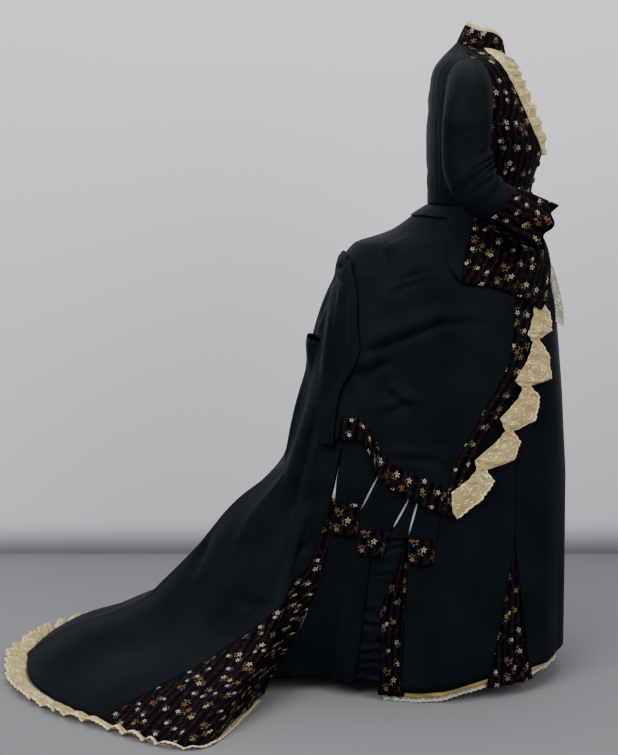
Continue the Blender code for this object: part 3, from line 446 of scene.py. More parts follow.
def front_panel(u, height):
    height = hung(godet_edge(FRONT_GODET, height, -1) * u, height)
    gore = godet_edge(FRONT_GODET, height, -1) * u
    return off_skirt(gore, height, fluted(np.abs(gore), height, FRONT_FLUTES))


cloth("underskirt_front", front_panel, steps(-1, 1, 90), steps(HEM_HEIGHT, UNDERSKIRT_TOP, 60), SATIN)
for word, side in SIDES.items():
    panel(
        f"underskirt_side_{word}", lambda z: godet_edge(FRONT_GODET, z, 1),
        lambda z: godet_edge(KICK_GODET, z, -1), steps(HEM_HEIGHT, UNDERSKIRT_TOP, 60), 52, side,
        lambda gore, z: fluted(gore, z, SIDE_FLUTES), SATIN, lifted=True,
    )

# Godets: wedges of flowered velvet pleated into the front and kick seams, so that the black hem opens on
# a show of sprigs. The velvet is voided in fine stripes, and its silk flowers lie flat between the pile.
SPRIG_TONES, TONE_STARTS = ("#bdb7a8", "#8a764c", "#a8a08c", "#6d4834", "#cfc3a2"), (0.0, 0.42, 0.60, 0.87)
SPRIG_SPACING, SPRIG_SIZE, SPRIGS_SHOWN = 0.030, 0.0062, 0.86


def measure(tree, operation, *values):
    return node(tree, "ShaderNodeMath", dict(enumerate(values)), operation=operation).outputs[0]


def reckon(tree, operation, *values, output=0):
    made = node(tree, "ShaderNodeVectorMath", dict(enumerate(values)), operation=operation)
    return made.outputs[output]


def within(tree, distance, reach, soft):
    """1 inside the reach and 0 outside it, with a soft edge."""
    made = node(
        tree, "ShaderNodeMapRange",
        {"Value": distance, "From Min": reach - soft, "From Max": reach + soft, "To Min": 1.0, "To Max": 0.0},
    )
    return made.outputs["Result"]


def oval(tree, place, centre, half):
    """How far a place lies from an oval's middle, as a share of the oval's reach."""
    scaled = reckon(tree, "DIVIDE", reckon(tree, "SUBTRACT", place, centre), half)
    return reckon(tree, "LENGTH", scaled, output="Value")


def sprigs(tree, place, spacing, size, shift):
    """A common strewn flower: a five-petalled head, a bud and two leaves, one to a cell, each turned its own
    way. Gives the mask, the head's share of it, a number of its own for each sprig, and the radius in it."""
    moved = reckon(tree, "ADD", place, (shift, shift * 0.7, 0))
    cells = node(tree, "ShaderNodeTexVoronoi", {"Vector": moved, "Scale": 1 / spacing, "Randomness": 0.95})
    cells.voronoi_dimensions = "2D"
    local = reckon(tree, "SUBTRACT", moved, cells.outputs["Position"])
    chance = node(tree, "ShaderNodeSeparateColor", {"Color": cells.outputs["Color"]})
    angle = measure(tree, "MULTIPLY", chance.outputs[1], 6.283)
    local = node(
        tree, "ShaderNodeVectorRotate", {"Vector": local, "Angle": angle}, rotation_type="Z_AXIS"
    ).outputs[0]
    grown = measure(tree, "MULTIPLY_ADD", chance.outputs[2], 0.5, 0.66)
    shrink = measure(tree, "DIVIDE", 1 / size, grown)
    local = node(tree, "ShaderNodeVectorMath", {0: local, "Scale": shrink}, operation="SCALE").outputs[0]
    parts = node(tree, "ShaderNodeSeparateXYZ", {0: local})
    around = measure(tree, "ARCTAN2", parts.outputs[1], parts.outputs[0])
    petals = measure(tree, "ABSOLUTE", measure(tree, "COSINE", measure(tree, "MULTIPLY", around, 2.5)))
    rim = measure(tree, "MULTIPLY_ADD", measure(tree, "POWER", petals, 1.5), 0.85, 0.18)
    radius = reckon(tree, "LENGTH", local, output="Value")
    head = within(tree, measure(tree, "DIVIDE", radius, rim), 1.0, 0.12)
    leaf = within(tree, oval(tree, local, (0.9, -1.25, 0), (0.62, 0.26, 1)), 1.0, 0.2)
    twin = within(tree, oval(tree, local, (-0.75, -1.45, 0), (0.50, 0.24, 1)), 1.0, 0.2)
    bud = within(tree, oval(tree, local, (0.15, -1.9, 0), (0.26, 0.34, 1)), 1.0, 0.2)
    rest = measure(tree, "MAXIMUM", measure(tree, "MAXIMUM", leaf, twin), bud)
    shown = within(tree, chance.outputs[0], SPRIGS_SHOWN, 0.001)
    mask = measure(tree, "MULTIPLY", measure(tree, "MAXIMUM", head, rest), shown)
    return mask, head, chance.outputs[2], radius


def flowered_velvet():
    """Silk velvet, its pile cut in stripes about 9 mm apart. The deep pile drinks the light and glows purple
    at its edges, and the flat silk of the stripes and flowers catches it."""
    made, tree, shader, place = finish_of("flowered_velvet", 0.85, 0.03, "#6a4a64", 0.40, 0.06)
    wave = node(
        tree, "ShaderNodeTexWave",
        {"Vector": place, "Scale": 17.5, "Distortion": 1.2, "Detail": 1.0, "Detail Scale": 1.5},
        bands_direction="X",
    ).outputs["Fac"]
    stripes = ramp(tree, wave, (0.35, "#030202"), (0.95, "#150d12"))
    mask, head, tone, radius = sprigs(tree, place, SPRIG_SPACING, SPRIG_SIZE, 0.0)
    small = sprigs(tree, place, SPRIG_SPACING * 0.62, SPRIG_SIZE * 0.42, 0.013)[0]
    silks = node(tree, "ShaderNodeValToRGB", {"Fac": tone})
    silks.color_ramp.interpolation = "CONSTANT"
    for place_on, code in zip(TONE_STARTS, SPRIG_TONES):
        element = silks.color_ramp.elements.new(place_on) if place_on else silks.color_ramp.elements[0]
        element.color = linear(code)
    silks.color_ramp.elements[-1].color = linear(SPRIG_TONES[-1])
    eye = blend(tree, within(tree, radius, 0.30, 0.08), silks.outputs["Color"], "#6d4326")
    leaves = blend(tree, head, "#5c553e", eye)
    dotted = blend(tree, measure(tree, "MULTIPLY", small, 0.5), stripes, "#3d362d")
    tree.links.new(blend(tree, mask, dotted, leaves), shader.inputs["Base Color"])
    bump(tree, shader, measure(tree, "SUBTRACT", wave, measure(tree, "MULTIPLY", mask, 0.6)), 0.6, 0.0009)
    return made


FLOWERED = flowered_velvet()
PLEAT_DEPTH, SPILL_OUT, SPILL_HEIGHT = 0.0050, 0.0052, 0.180
# Each godet runs on under the panel in front of it, by this many gores and this deep
TUCK, TUCK_DEPTH = 0.07, 0.0015

for word, side in SIDES.items():
    for godet in GODETS:

        def half(z, godet=godet):
            return godet_edge(godet, z, 1) - godet.centre - 2 * GORE_GAP

        def spill(z, godet=godet):
            return godet.spill * np.exp(-(((z - SPILL_HEIGHT) / SPILL_HEIGHT * 1.9) ** 2))

        def pleated(gore, z, godet=godet, half=half):
            share = (gore - godet.centre) / half(z)
            tuck = TUCK_DEPTH * ease((-0.9 - share) / 0.2)
            share = np.maximum(share, -1)
            sharp = 1 - np.abs(np.sin(share * np.pi * godet.pleats / 2)) ** 0.8 * 2
            over = SPILL_OUT * ease((share - 0.75) / 0.4) * min(godet.spill * 9, 1)
            return -0.001 + over - tuck + PLEAT_DEPTH * sharp * (1 - z / godet.top)

        panel(
            f"{godet.name}_{word}", lambda z, godet=godet, half=half: godet.centre - half(z) - TUCK,
            lambda z, godet=godet, half=half, spill=spill: godet.centre + half(z) + spill(z),
            steps(godet.foot, godet.top - 0.012, 50), godet.columns, side, pleated, FLOWERED,
        )

# Side backs: silk satin behind each kick pleat. A strip beside the godet is drawn up on a cord into uneven
# cross gathers, and the rest hangs in flutes to a hem that curls up off the floor.
GATHER_END, GATHER_FOOT, GATHER_TOP, GATHER_SPACING, SMALL_GATHER = 4.72, 0.042, 0.352, 0.027, 0.017
SIDE_BACK_HEM, SEAM_TUCK = 0.030, 0.0065
Edge = namedtuple("Edge", "height gore")
INSET_FRONT = (
    Edge(0.010, 6.10), Edge(0.068, 6.00), Edge(0.141, 5.88), Edge(0.229, 5.72), Edge(0.294, 5.68),
    Edge(0.440, 5.80),
)
INSET_BACK = (
    Edge(0.004, 7.98), Edge(0.043, 7.84), Edge(0.091, 7.68), Edge(0.118, 7.60), Edge(0.153, 7.39),
    Edge(0.204, 6.92), Edge(0.251, 6.25), Edge(0.324, 5.98), Edge(0.440, 5.94),
)


def edge_gore(edge, height):
    return smooth([row.height for row in edge], [row.gore for row in edge], height)


def gathers(gore, height):
    wander = height + 0.006 * np.sin(gore * 5 + height * 31) + 0.004 * np.sin(height * 73)
    drawn = 0.0024 * np.sin(wander * 2 * np.pi / GATHER_SPACING)
    drawn += 0.0012 * np.sin(wander * 2 * np.pi / SMALL_GATHER + gore * 9)
    return drawn * ease((GATHER_TOP - height) / 0.03) * (0.6 + 0.4 * np.sin(height * 19))


def side_flutes(gore, height):
    hang = 0.007 * np.sin((gore - GATHER_END) * np.pi * 2.4) + 0.002 * np.sin(gore * 21)
    curl = 0.004 * ease((0.09 - height) / 0.07) * np.sin(gore * 8)
    return hang * (1 - height / KICK_GODET.top) + curl - SEAM_TUCK * ease((GATHER_END + 0.03 - gore) / 0.05)


for word, side in SIDES.items():
    panel(
        f"side_gathers_{word}", lambda z: godet_edge(KICK_GODET, z, 1),
        lambda z: GATHER_END - GORE_GAP + 0 * z, steps(GATHER_FOOT, KICK_GODET.top, 160), 20, side, gathers,
        SATIN,
    )
    panel(
        f"side_back_{word}", lambda z: GATHER_END - 0.05 + 0 * z,
        lambda z: edge_gore(INSET_FRONT, z) - 2 * GORE_GAP, steps(SIDE_BACK_HEM, KICK_GODET.top, 60), 48,
        side, side_flutes, SATIN,
    )

# Hem: a facing of gold silk, seen under the satin's edge, and inside it a gathered edging of white machine
# lace with a scalloped foot, whipped to the facing.
# A scallop's depth and width, the border's width, and how many patches of spray there are to a metre
SCALLOP, SCALLOP_PITCH, LACE_BORDER, SPRAYS = 0.0025, 0.011, 0.0045, 58.0


def lace_finish(name, ground, motif, veil):
    """Cotton lace: closed sprays and a corded, scalloped border on a net of about 0.8 mm. So fine an even net
    is drawn as a veil, which lets a share of the light through."""
    made, tree, shader, place = finish_of(name, 0.85, 0.10, "#fff4dc", 0.6, 0.12)
    parts = node(tree, "ShaderNodeSeparateXYZ", {0: place})
    turn = measure(tree, "MULTIPLY", parts.outputs[0], np.pi / SCALLOP_PITCH)
    arch = measure(tree, "ABSOLUTE", measure(tree, "SINE", turn))
    rim = measure(tree, "SUBTRACT", SCALLOP, measure(tree, "MULTIPLY", arch, SCALLOP))
    inside = measure(tree, "SUBTRACT", parts.outputs[1], rim)
    shown = measure(tree, "GREATER_THAN", inside, 0.0)
    cord = within(tree, inside, LACE_BORDER, 0.0012)
    patches = node(tree, "ShaderNodeTexNoise", {"Vector": place, "Scale": SPRAYS, "Detail": 1.0})
    sprays = node(tree, "ShaderNodeTexVoronoi", {"Vector": place, "Scale": SPRAYS * 3.6}, feature="SMOOTH_F1")
    eyelets = within(tree, sprays.outputs["Distance"], 0.36, 0.06)
    closed = measure(tree, "MULTIPLY", eyelets, measure(tree, "GREATER_THAN", patches.outputs["Fac"], 0.47))
    bead = node(tree, "ShaderNodeTexVoronoi", {"Vector": place, "Scale": SPRAYS * 1.1})
    beads = within(tree, bead.outputs["Distance"], 0.16, 0.03)
    closed = measure(tree, "MAXIMUM", measure(tree, "MAXIMUM", closed, beads), cord)
    cover = node(tree, "ShaderNodeMapRange", {"Value": closed, "To Min": veil, "To Max": 1.0})
    tree.links.new(measure(tree, "MULTIPLY", cover.outputs["Result"], shown), shader.inputs["Alpha"])
    aged = node(tree, "ShaderNodeTexNoise", {"Vector": place, "Scale": 16.0, "Detail": 2.0})
    shade = blend(tree, aged.outputs["Fac"], ground, motif)
    tree.links.new(blend(tree, closed, ground, shade), shader.inputs["Base Color"])
    bump(tree, shader, closed, 0.6, 0.0007)
    return made


def plain_silk(name, code, roughness):
    made, tree, shader, place = finish_of(name, roughness, 0.1)
    shader.inputs["Base Color"].default_value = linear(code)
    crush = node(tree, "ShaderNodeTexNoise", {"Vector": place, "Scale": 70.0, "Detail": 2.0})
    bump(tree, shader, crush.outputs["Fac"], 0.3, 0.0006)
    return made


WHITE_LACE = lace_finish("white_lace", "#b3af9f", "#dedacb", 0.45)
CREAM_LACE = lace_finish("cream_lace", "#c9b27c", "#fbecbe", 0.60)
GOLD_SILK = plain_silk("gold_silk", "#c0a352", 0.42)
# How far each lies behind the satin, where its foot hangs, and how deep it is
FACING_BACK, FACING_FOOT, FACING_DEEP = 0.0069, 0.0125, 0.027
LACE_BACK, LACE_FOOT, LACE_DEEP, HEM_END = 0.0107, 0.0005, 0.026, 4.16


def hem_facing(u, v):
    uneven = 0.001 * np.sin(u * 13) * (1 - v)
    return off_skirt(u, hung(u, FACING_FOOT + FACING_DEEP * v + uneven), -FACING_BACK)


def hem_lace(u, v):
    gathered = 0.0018 * np.cos(u * 2 * np.pi * 2.35 + 0.7 * np.sin(u * 5))
    gathered += 0.0010 * np.cos(u * 2 * np.pi * 6.1)
    return off_skirt(u, hung(u, LACE_FOOT + LACE_DEEP * v), -LACE_BACK + gathered * (1 - v))


cloth("hem_facing", hem_facing, steps(-HEM_END, HEM_END, 260), steps(0, 1, 4), GOLD_SILK)
cloth(
    "hem_lace", hem_lace, steps(-HEM_END, HEM_END, 640), steps(0, 1, 6), WHITE_LACE,
    edge="foot",
)

# Train: a long back breadth of black satin, with a wide wedge of flowered velvet let in along each side.
# It hangs off the bustle, breaks below the knee and lies out behind in heavy flutes.
TRAIN_TOP, TRAIN_TOP_GORE = 0.735, 6.35
TRAIN_FLARE, TRAIN_BOX = 0.020, 0.0055
TRAIN_FOOT, INSET_TOP = 0.006, 0.426
TRAIN_ROWS = np.concatenate(
    [steps(TRAIN_FOOT, 0.10, 20), steps(0.10, 0.44, 40)[1:], steps(0.44, TRAIN_TOP, 30)[1:]]
)
TRAIN_CREASES = (
    Crease(((9.90, 0.317), (9.30, 0.235), (8.91, 0.166)), 0.010, 0.016),
    Crease(((8.34, 0.500), (8.44, 0.347), (8.29, 0.184)), -0.008, 0.018),
    Crease(((6.67, 0.456), (6.72, 0.332), (7.20, 0.209)), 0.009, 0.014),
    Crease(((7.40, 0.640), (7.55, 0.500), (7.70, 0.400), (7.75, 0.280)), 0.008, 0.016),
    Crease(((9.30, 0.700), (9.35, 0.540), (9.25, 0.420)), -0.007, 0.016),
    Crease(((6.25, 0.345), (6.45, 0.320), (6.85, 0.330)), 0.006, 0.010),
    Crease(((7.10, 0.215), (7.60, 0.200), (8.15, 0.215)), 0.005, 0.009),
    Crease(((6.45, 0.640), (6.55, 0.520), (6.35, 0.430)), -0.005, 0.012),
)


def train_folds(gore, height):
    """Soft flutes that open down the train; they fade out towards its top."""
    place = np.abs(gore)
    low = ease((0.42 - height) / 0.3) * ease(height / 0.10 + 0.25)
    return low * (0.010 * np.sin(place * 2.6 + 0.7) + 0.004 * np.sin(place * 5.3 + 2.0))


def train_edge(height):
    above = TRAIN_TOP_GORE + (5.94 - TRAIN_TOP_GORE) * ease((TRAIN_TOP - height) / (TRAIN_TOP - 0.50))
    return np.where(height > 0.44, above, edge_gore(INSET_BACK, height))


def train_form(u, height):
    near = train_edge(height)
    place = (BACK - near) * np.abs(u)
    flare = TRAIN_FLARE * ease((1.5 - place) / 0.6) * ease((height - 0.63) / (TRAIN_TOP - 0.63)) ** 1.5
    box = TRAIN_BOX * ease((height - 0.40) / 0.06)
    calm = ease(place / 0.4) * ease((1 - np.abs(u)) * 8) * ease(height / 0.05)
    shift = np.where(u > 0, 0.0, 1.0)
    folds = creased(BACK - place, height, TRAIN_CREASES) * (1 - shift)
    folds += creased(BACK - place, height, TRAIN_CREASES, (0.12, 0.015)) * shift
    return off_skirt(
        BACK + (BACK - near) * u, height, box + flare + train_folds(BACK - place, height) + folds * calm
    )


def inset_flutes(gore, height):
    low = edge_gore(INSET_FRONT, height) + 2 * GORE_GAP
    high = edge_gore(INSET_BACK, height) - 3 * GORE_GAP
    inside = ease((gore - low) / 0.25) * ease((high - gore) / 0.25)
    wave = 0.003 * np.cos(gore * 9) + 0.0025 * np.sin(gore * 15 + height * 20)
    return train_folds(gore, height) + wave * ease((0.35 - height) / 0.3) * inside


for word, side in SIDES.items():
    panel(
        f"train_inset_{word}", lambda z: edge_gore(INSET_FRONT, z) + 2 * GORE_GAP,
        lambda z: edge_gore(INSET_BACK, z) - 3 * GORE_GAP, TRAIN_ROWS[TRAIN_ROWS < INSET_TOP], 80, side,
        inset_flutes, FLOWERED,
    )
cloth("train", train_form, steps(-1, 1, 140), TRAIN_ROWS, SATIN)

# Train ruffle: wide cream lace pulled up thickly and sewn under the train's edge to keep it off the floor.
# It is deepest round the tail and dies away along the velvet.
# Where it starts, its gathers, how far it is tucked under the edge, and its height at the seam
RUFFLE_FIRST, RUFFLE_WAVES, RUFFLE_TUCK, RUFFLE_LEVEL = 6.20, 44, 0.006, 0.0024
# How far from the centre back it stays deep, on the wearer's right and left, and how deep it is at each end
DEEP_RIGHT, DEEP_LEFT, DEEP_FADE, RUFFLE_LEAST, RUFFLE_MORE = 2.8, 1.3, 1.4, 0.008, 0.036


def ruffle_form(u, v):
    gore = RUFFLE_FIRST + (2 * BACK - 2 * RUFFLE_FIRST) * u
    edge = on_skirt(gore, 0.0)
    ahead = on_skirt(gore + 0.02, 0.0) - on_skirt(gore - 0.02, 0.0)
    away = np.stack([ahead[:, 1], -ahead[:, 0], 0 * gore], 1)
    away /= np.linalg.norm(away, axis=1, keepdims=True)
    place = np.abs(gore - BACK)
    deep_to = np.where(gore > BACK, DEEP_RIGHT, DEEP_LEFT)
    reach = RUFFLE_LEAST + RUFFLE_MORE * ease((deep_to - place) / DEEP_FADE)
    uneven = u * RUFFLE_WAVES + 0.22 * np.sin(u * 61) + 0.13 * np.sin(u * 157)
    wave = 0.5 + 0.5 * np.cos(uneven * 2 * np.pi)
    deep = ease((deep_to + 0.4 - place) / 1.2 + 0.2)
    arched = np.sin(np.pi * np.clip(v, 0, 1) * 0.72) ** 0.8
    level = RUFFLE_LEVEL + (0.002 + 0.017 * wave**0.7) * deep * arched
    spread = -RUFFLE_TUCK + (reach * (0.80 + 0.20 * wave) + RUFFLE_TUCK) * v
    sway = 0.004 * np.sin(uneven * 2 * np.pi + 1.2) * v * deep
    along = ahead / np.linalg.norm(ahead, axis=1, keepdims=True)
    points = edge + away * spread[:, None] + along * sway[:, None]
    points[:, 2] = level
    return points


cloth(
    "train_ruffle", ruffle_form, steps(0, 1, 880), steps(0, 1, 14)[::-1], CREAM_LACE,
    edge="foot",
)

# Flounce: square-ended tabs of satin finished with velvet, slanting back as they fall, over a flat lining of
# pale blue silk. Slivers of the lining show in the slits, like ribbon.
LINING_OUT, FLOUNCE_OUT, TAB_HEAD = 0.0018, 0.0044, 0.050
Tab = namedtuple("Tab", "name middle foot velvet_top")
TABS = (
    Tab("front", 3.59, 0.288, 0.343), Tab("slim", 4.01, 0.345, None), Tab("middle", 4.46, 0.303, 0.360),
    Tab("back", 5.38, 0.345, 0.415),
)
# The line of each slit, from the front edge of the first tab to the back edge of the last
SLITS = (
    (Edge(0.288, 3.44), Edge(0.457, 3.32)),
    (Edge(0.288, 3.95), Edge(0.352, 4.01), Edge(0.415, 3.91), Edge(0.480, 3.86)),
    (Edge(0.303, 4.47), Edge(0.357, 4.38), Edge(0.422, 4.11), Edge(0.490, 4.02)),
    (Edge(0.303, 5.07), Edge(0.402, 5.10), Edge(0.470, 4.83), Edge(0.520, 4.78)),
    (Edge(0.345, 5.66), Edge(0.420, 5.79), Edge(0.463, 5.88), Edge(0.545, 5.91), Edge(0.600, 5.88)),
)
SLIT_FOOT, SLIT_HEAD, SLIT_HALF, SLIT_CLOSED = (0.345, 0.350, 0.352, 0.398, 0.345), 0.085, 0.021, 0.0035
LINING_GORES = (3.78, 4.00, 5.00, 5.90)
LINING_FEET = (0.352, 0.352, 0.400, 0.425)
DRAPE_HEM = (
    Edge(0.390, 3.15), Edge(0.407, 3.60), Edge(0.437, 4.25), Edge(0.467, 4.75), Edge(0.520, 5.10),
    Edge(0.545, 5.40), Edge(0.545, 6.40),
)
PALE_SILK = plain_silk("pale_blue_silk", "#b9c6cc", 0.55)


def drape_hem_height(gore):
    return np.interp(gore, [row.gore for row in DRAPE_HEM], [row.height for row in DRAPE_HEM])


def slit_edge(number, height, way):
    """One lip of a slit: a thin blade, pointed at both ends, and closed below its foot."""
    line, share = SLITS[number], (height - SLIT_FOOT[number]) / SLIT_HEAD
    open_by = SLIT_CLOSED + SLIT_HALF * np.sin(np.pi * np.clip(share, 0, 1)) ** 0.8
    return np.interp(height, [row.height for row in line], [row.gore for row in line]) + way * open_by


for word, side in SIDES.items():
    for number, tab in enumerate(TABS):
        head = drape_hem_height(tab.middle) + TAB_HEAD
        soft = tab.velvet_top or tab.foot

        def tab_form(u, height, number=number, tab=tab, head=head, side=side):
            share = from_front(u, side)
            rise = (height - tab.foot) / (head - tab.foot)
            front, back = slit_edge(number, height, 1), slit_edge(number + 1, height, -1)
            bow = 0.0012 * np.sin(share * 7 + tab.middle) * (1 - rise) + 0.0012 * (1 - rise) ** 4
            return off_skirt(side * (front + (back - front) * share), height, FLOUNCE_OUT + bow)

        cloth(f"flounce_tab_{tab.name}_{word}", tab_form, steps(0, 1, 16), steps(soft, head, 44), SATIN)
        if tab.velvet_top:
            cloth(
                f"tab_velvet_{tab.name}_{word}", tab_form, steps(0, 1, 16),
                steps(tab.foot, soft - SEAM_GAP, 12), FLOWERED, wall=SILK,
            )

    def lining(u, v, side=side):
        gore = LINING_GORES[0] + (LINING_GORES[-1] - LINING_GORES[0]) * from_front(u, side)
        top, foot = drape_hem_height(gore) + TAB_HEAD / 2, np.interp(gore, LINING_GORES, LINING_FEET)
        return off_skirt(side * gore, foot + (top - foot) * v, LINING_OUT)

    cloth(f"flounce_lining_{word}", lining, steps(0, 1, 60), steps(0, 1, 10), PALE_SILK)

# Hip drapery: a breadth of satin on each side, looped up to the back so that it falls in swags, with a
# velvet band stitched down its front edge and along its hem.
DRAPE_OUT_WAIST, DRAPE_OUT = 0.0029, 0.0130
BAND_SHARE, HEM_BAND_SHARE, BAND_TOP, HEM_BAND_END = 0.060, 0.085, 0.77, 0.93
DRAPE_FRONT = (
    Edge(0.390, 3.15), Edge(0.480, 2.98), Edge(0.580, 2.53), Edge(0.690, 1.96), Edge(0.834, 1.60),
    Edge(1.020, 1.30),
)
DRAPE_BACK = (
    Edge(0.545, 6.40), Edge(0.700, 6.60), Edge(0.860, 7.50), Edge(0.905, 8.80), Edge(0.935, 9.97),
    Edge(1.020, 9.97),
)
HIP_CREASES = (
    Crease(
        ((5.95, 0.700), (5.63, 0.732), (4.74, 0.761), (3.77, 0.794), (3.03, 0.798), (2.38, 0.794)),
        0.0066, 0.009,
    ),
    Crease(((5.62, 0.678), (5.29, 0.706), (4.88, 0.722)), 0.0070, 0.010),
    Crease(((5.65, 0.866), (5.29, 0.875), (4.59, 0.893), (3.75, 0.908)), 0.0045, 0.008),
    Crease(((5.35, 0.842), (4.95, 0.866), (4.40, 0.872)), 0.0040, 0.007),
    Crease(((4.75, 0.868), (4.40, 0.880), (3.90, 0.878)), 0.0030, 0.006),
    Crease(((5.10, 0.664), (4.69, 0.643), (4.39, 0.629), (4.02, 0.610)), 0.0050, 0.006),
    Crease(((5.00, 0.598), (4.54, 0.621), (3.97, 0.632)), 0.0045, 0.006),
    Crease(((4.75, 0.640), (4.50, 0.625), (4.30, 0.600)), 0.0035, 0.005),
    Crease(((6.77, 0.952), (5.86, 0.923), (5.70, 0.900)), 0.0040, 0.008),
    Crease(((4.80, 0.520), (4.39, 0.516), (3.95, 0.515), (3.62, 0.508), (3.50, 0.488)), 0.0045, 0.007),
    Crease(((3.30, 0.960), (3.36, 0.900), (3.34, 0.850)), 0.0025, 0.008),
    Crease(((6.10, 0.800), (5.20, 0.828), (3.60, 0.852), (2.40, 0.850)), 0.0020, 0.030),
    Crease(((5.30, 0.580), (4.40, 0.560), (3.60, 0.530), (3.10, 0.480)), 0.0025, 0.022),
    Crease(((5.85, 0.690), (5.35, 0.640), (5.05, 0.570), (4.95, 0.520)), -0.0050, 0.014),
)
# The deepest a fold may go before it would cut into the skirt
DEEPEST = 0.0086


def along_edge(edge, share):
    gores, heights = [row.gore for row in edge], [row.height for row in edge]
    reach = np.cumsum([0, *np.hypot(np.diff(heights), GORE_WIDTH * np.diff(gores))])
    knots = reach / reach[-1]
    gore, height = smooth(knots, gores, share), smooth(knots, heights, share)
    return np.clip(gore, min(gores), max(gores)), np.clip(height, min(heights), max(heights))


def drape_place(share, v):
    """The place on the skirt under the drapery, share 0 at its front edge and 1 at its back edge."""
    share, v = flat(share, v)
    front, back, hem = along_edge(DRAPE_FRONT, v), along_edge(DRAPE_BACK, v), along_edge(DRAPE_HEM, share)
    corners = (DRAPE_FRONT[0], DRAPE_BACK[0], DRAPE_FRONT[-1], DRAPE_BACK[-1])
    place = []
    for axis, key in ((0, "gore"), (1, "height")):
        a, b, c, d = (getattr(corner, key) for corner in corners)
        ruled = (1 - v) * hem[axis] + v * (c + (d - c) * share) + (1 - share) * front[axis]
        ruled = ruled + share * back[axis]
        place.append(ruled - ((1 - v) * ((1 - share) * a + share * b) + v * ((1 - share) * c + share * d)))
    return place


def drape_form(side, out=0.0):
    shift = (0, 0) if side < 0 else (0.10, -0.008)

    def form(u, v):
        share = from_front(u, side)
        gore, height = drape_place(share, v)
        rise = DRAPE_OUT_WAIST + (DRAPE_OUT - DRAPE_OUT_WAIST) * ease((WAIST_HEIGHT - height) / 0.10)
        puff = 0.005 * np.sin(np.pi * np.clip(share, 0, 1)) * ease((0.75 - height) / 0.2) * ease(v * 5)
        quiet = ease((share - 0.03) / 0.10) * ease(v * 6) * ease((1.0 - height) / 0.06)
        folds = creased(gore, height, HIP_CREASES, shift) * quiet
        folds = np.where(folds < 0, -DEEPEST * np.tanh(-folds / DEEPEST), folds)
        return off_skirt(side * gore, height, rise + puff + folds + out)

    return form


def across_for(side, low, high, count):
    return steps(low, high, count) if side > 0 else steps(1 - high, 1 - low, count)


for word, side in SIDES.items():
    cloth(f"hip_drape_{word}", drape_form(side), steps(0, 1, 120), steps(0, 1, 120), SATIN)
    band = drape_form(side, SEAM_GAP + VELVET)
    cloth(
        f"front_band_{word}", band, across_for(side, 0, BAND_SHARE - 0.001, 10), steps(0, BAND_TOP, 150),
        FLOWERED,
    )
    cloth(
        f"hem_band_{word}", band, across_for(side, BAND_SHARE, HEM_BAND_END, 110),
        steps(0, HEM_BAND_SHARE, 12), FLOWERED,
    )

# Lace cascade: cream lace gathered down the drapery's front edge, falling back and forth in five deep folds.
# Each row of the table is a crossing of the lace, from its sewn edge to its free edge, and how far it lifts.
Crossing = namedtuple("Crossing", "sewn_gore sewn_height free_gore free_height lift")
CASCADE = (
    Crossing(1.60, 0.832, 1.32, 0.832, 0.1), Crossing(1.66, 0.803, 1.17, 0.800, 0.5),
    Crossing(1.82, 0.764, 1.20, 0.768, 1.0), Crossing(1.72, 0.747, 1.50, 0.752, 0.1),
    Crossing(1.84, 0.715, 1.30, 0.718, 0.5), Crossing(2.15, 0.669, 1.33, 0.666, 1.0),
    Crossing(2.00, 0.652, 1.78, 0.655, 0.1), Crossing(2.10, 0.631, 1.60, 0.632, 0.5),
    Crossing(2.42, 0.592, 1.72, 0.583, 1.0), Crossing(2.33, 0.565, 2.15, 0.563, 0.1),
    Crossing(2.47, 0.545, 2.02, 0.541, 0.5), Crossing(2.84, 0.507, 2.16, 0.504, 1.0),
    Crossing(2.80, 0.487, 2.61, 0.485, 0.1), Crossing(2.95, 0.466, 2.48, 0.461, 0.5),
    Crossing(3.24, 0.442, 2.68, 0.423, 1.0), Crossing(3.18, 0.400, 3.06, 0.384, 0.3),
)
SEWN_OUT, FREE_OUT, CASCADE_LIFT = 0.0178, 0.0080, 0.0110

for word, side in SIDES.items():

    def cascade(u, v, side=side):
        share = from_front(u, side)
        rows = range(len(CASCADE))
        sewn_gore, sewn_height, free_gore, free_height, lift = (
            np.interp(v, rows, [row[column] for row in CASCADE]) for column in range(5)
        )
        wander = (0.0 if side < 0 else 0.05) * np.sin(v * 1.7)
        gore = free_gore + (sewn_gore - free_gore) * share + wander
        height = free_height + (sewn_height - free_height) * share
        crimp = 0.0012 * np.sin(v * 9.5 + share * 5) + 0.0002 * np.sin(v * 23 - share * 7)
        lifted = CASCADE_LIFT * lift * (1 - share) ** 0.7 * (0.7 + 0.3 * np.cos(share * 7 + v))
        out = FREE_OUT + (SEWN_OUT - FREE_OUT) * share + lifted + crimp
        return off_skirt(side * gore, height, out)

    cloth(
        f"lace_cascade_{word}", cascade, steps(0, 1, 22), steps(0, len(CASCADE) - 1, 300), CREAM_LACE,
        edge="start" if side > 0 else "end", flip=True,
    )

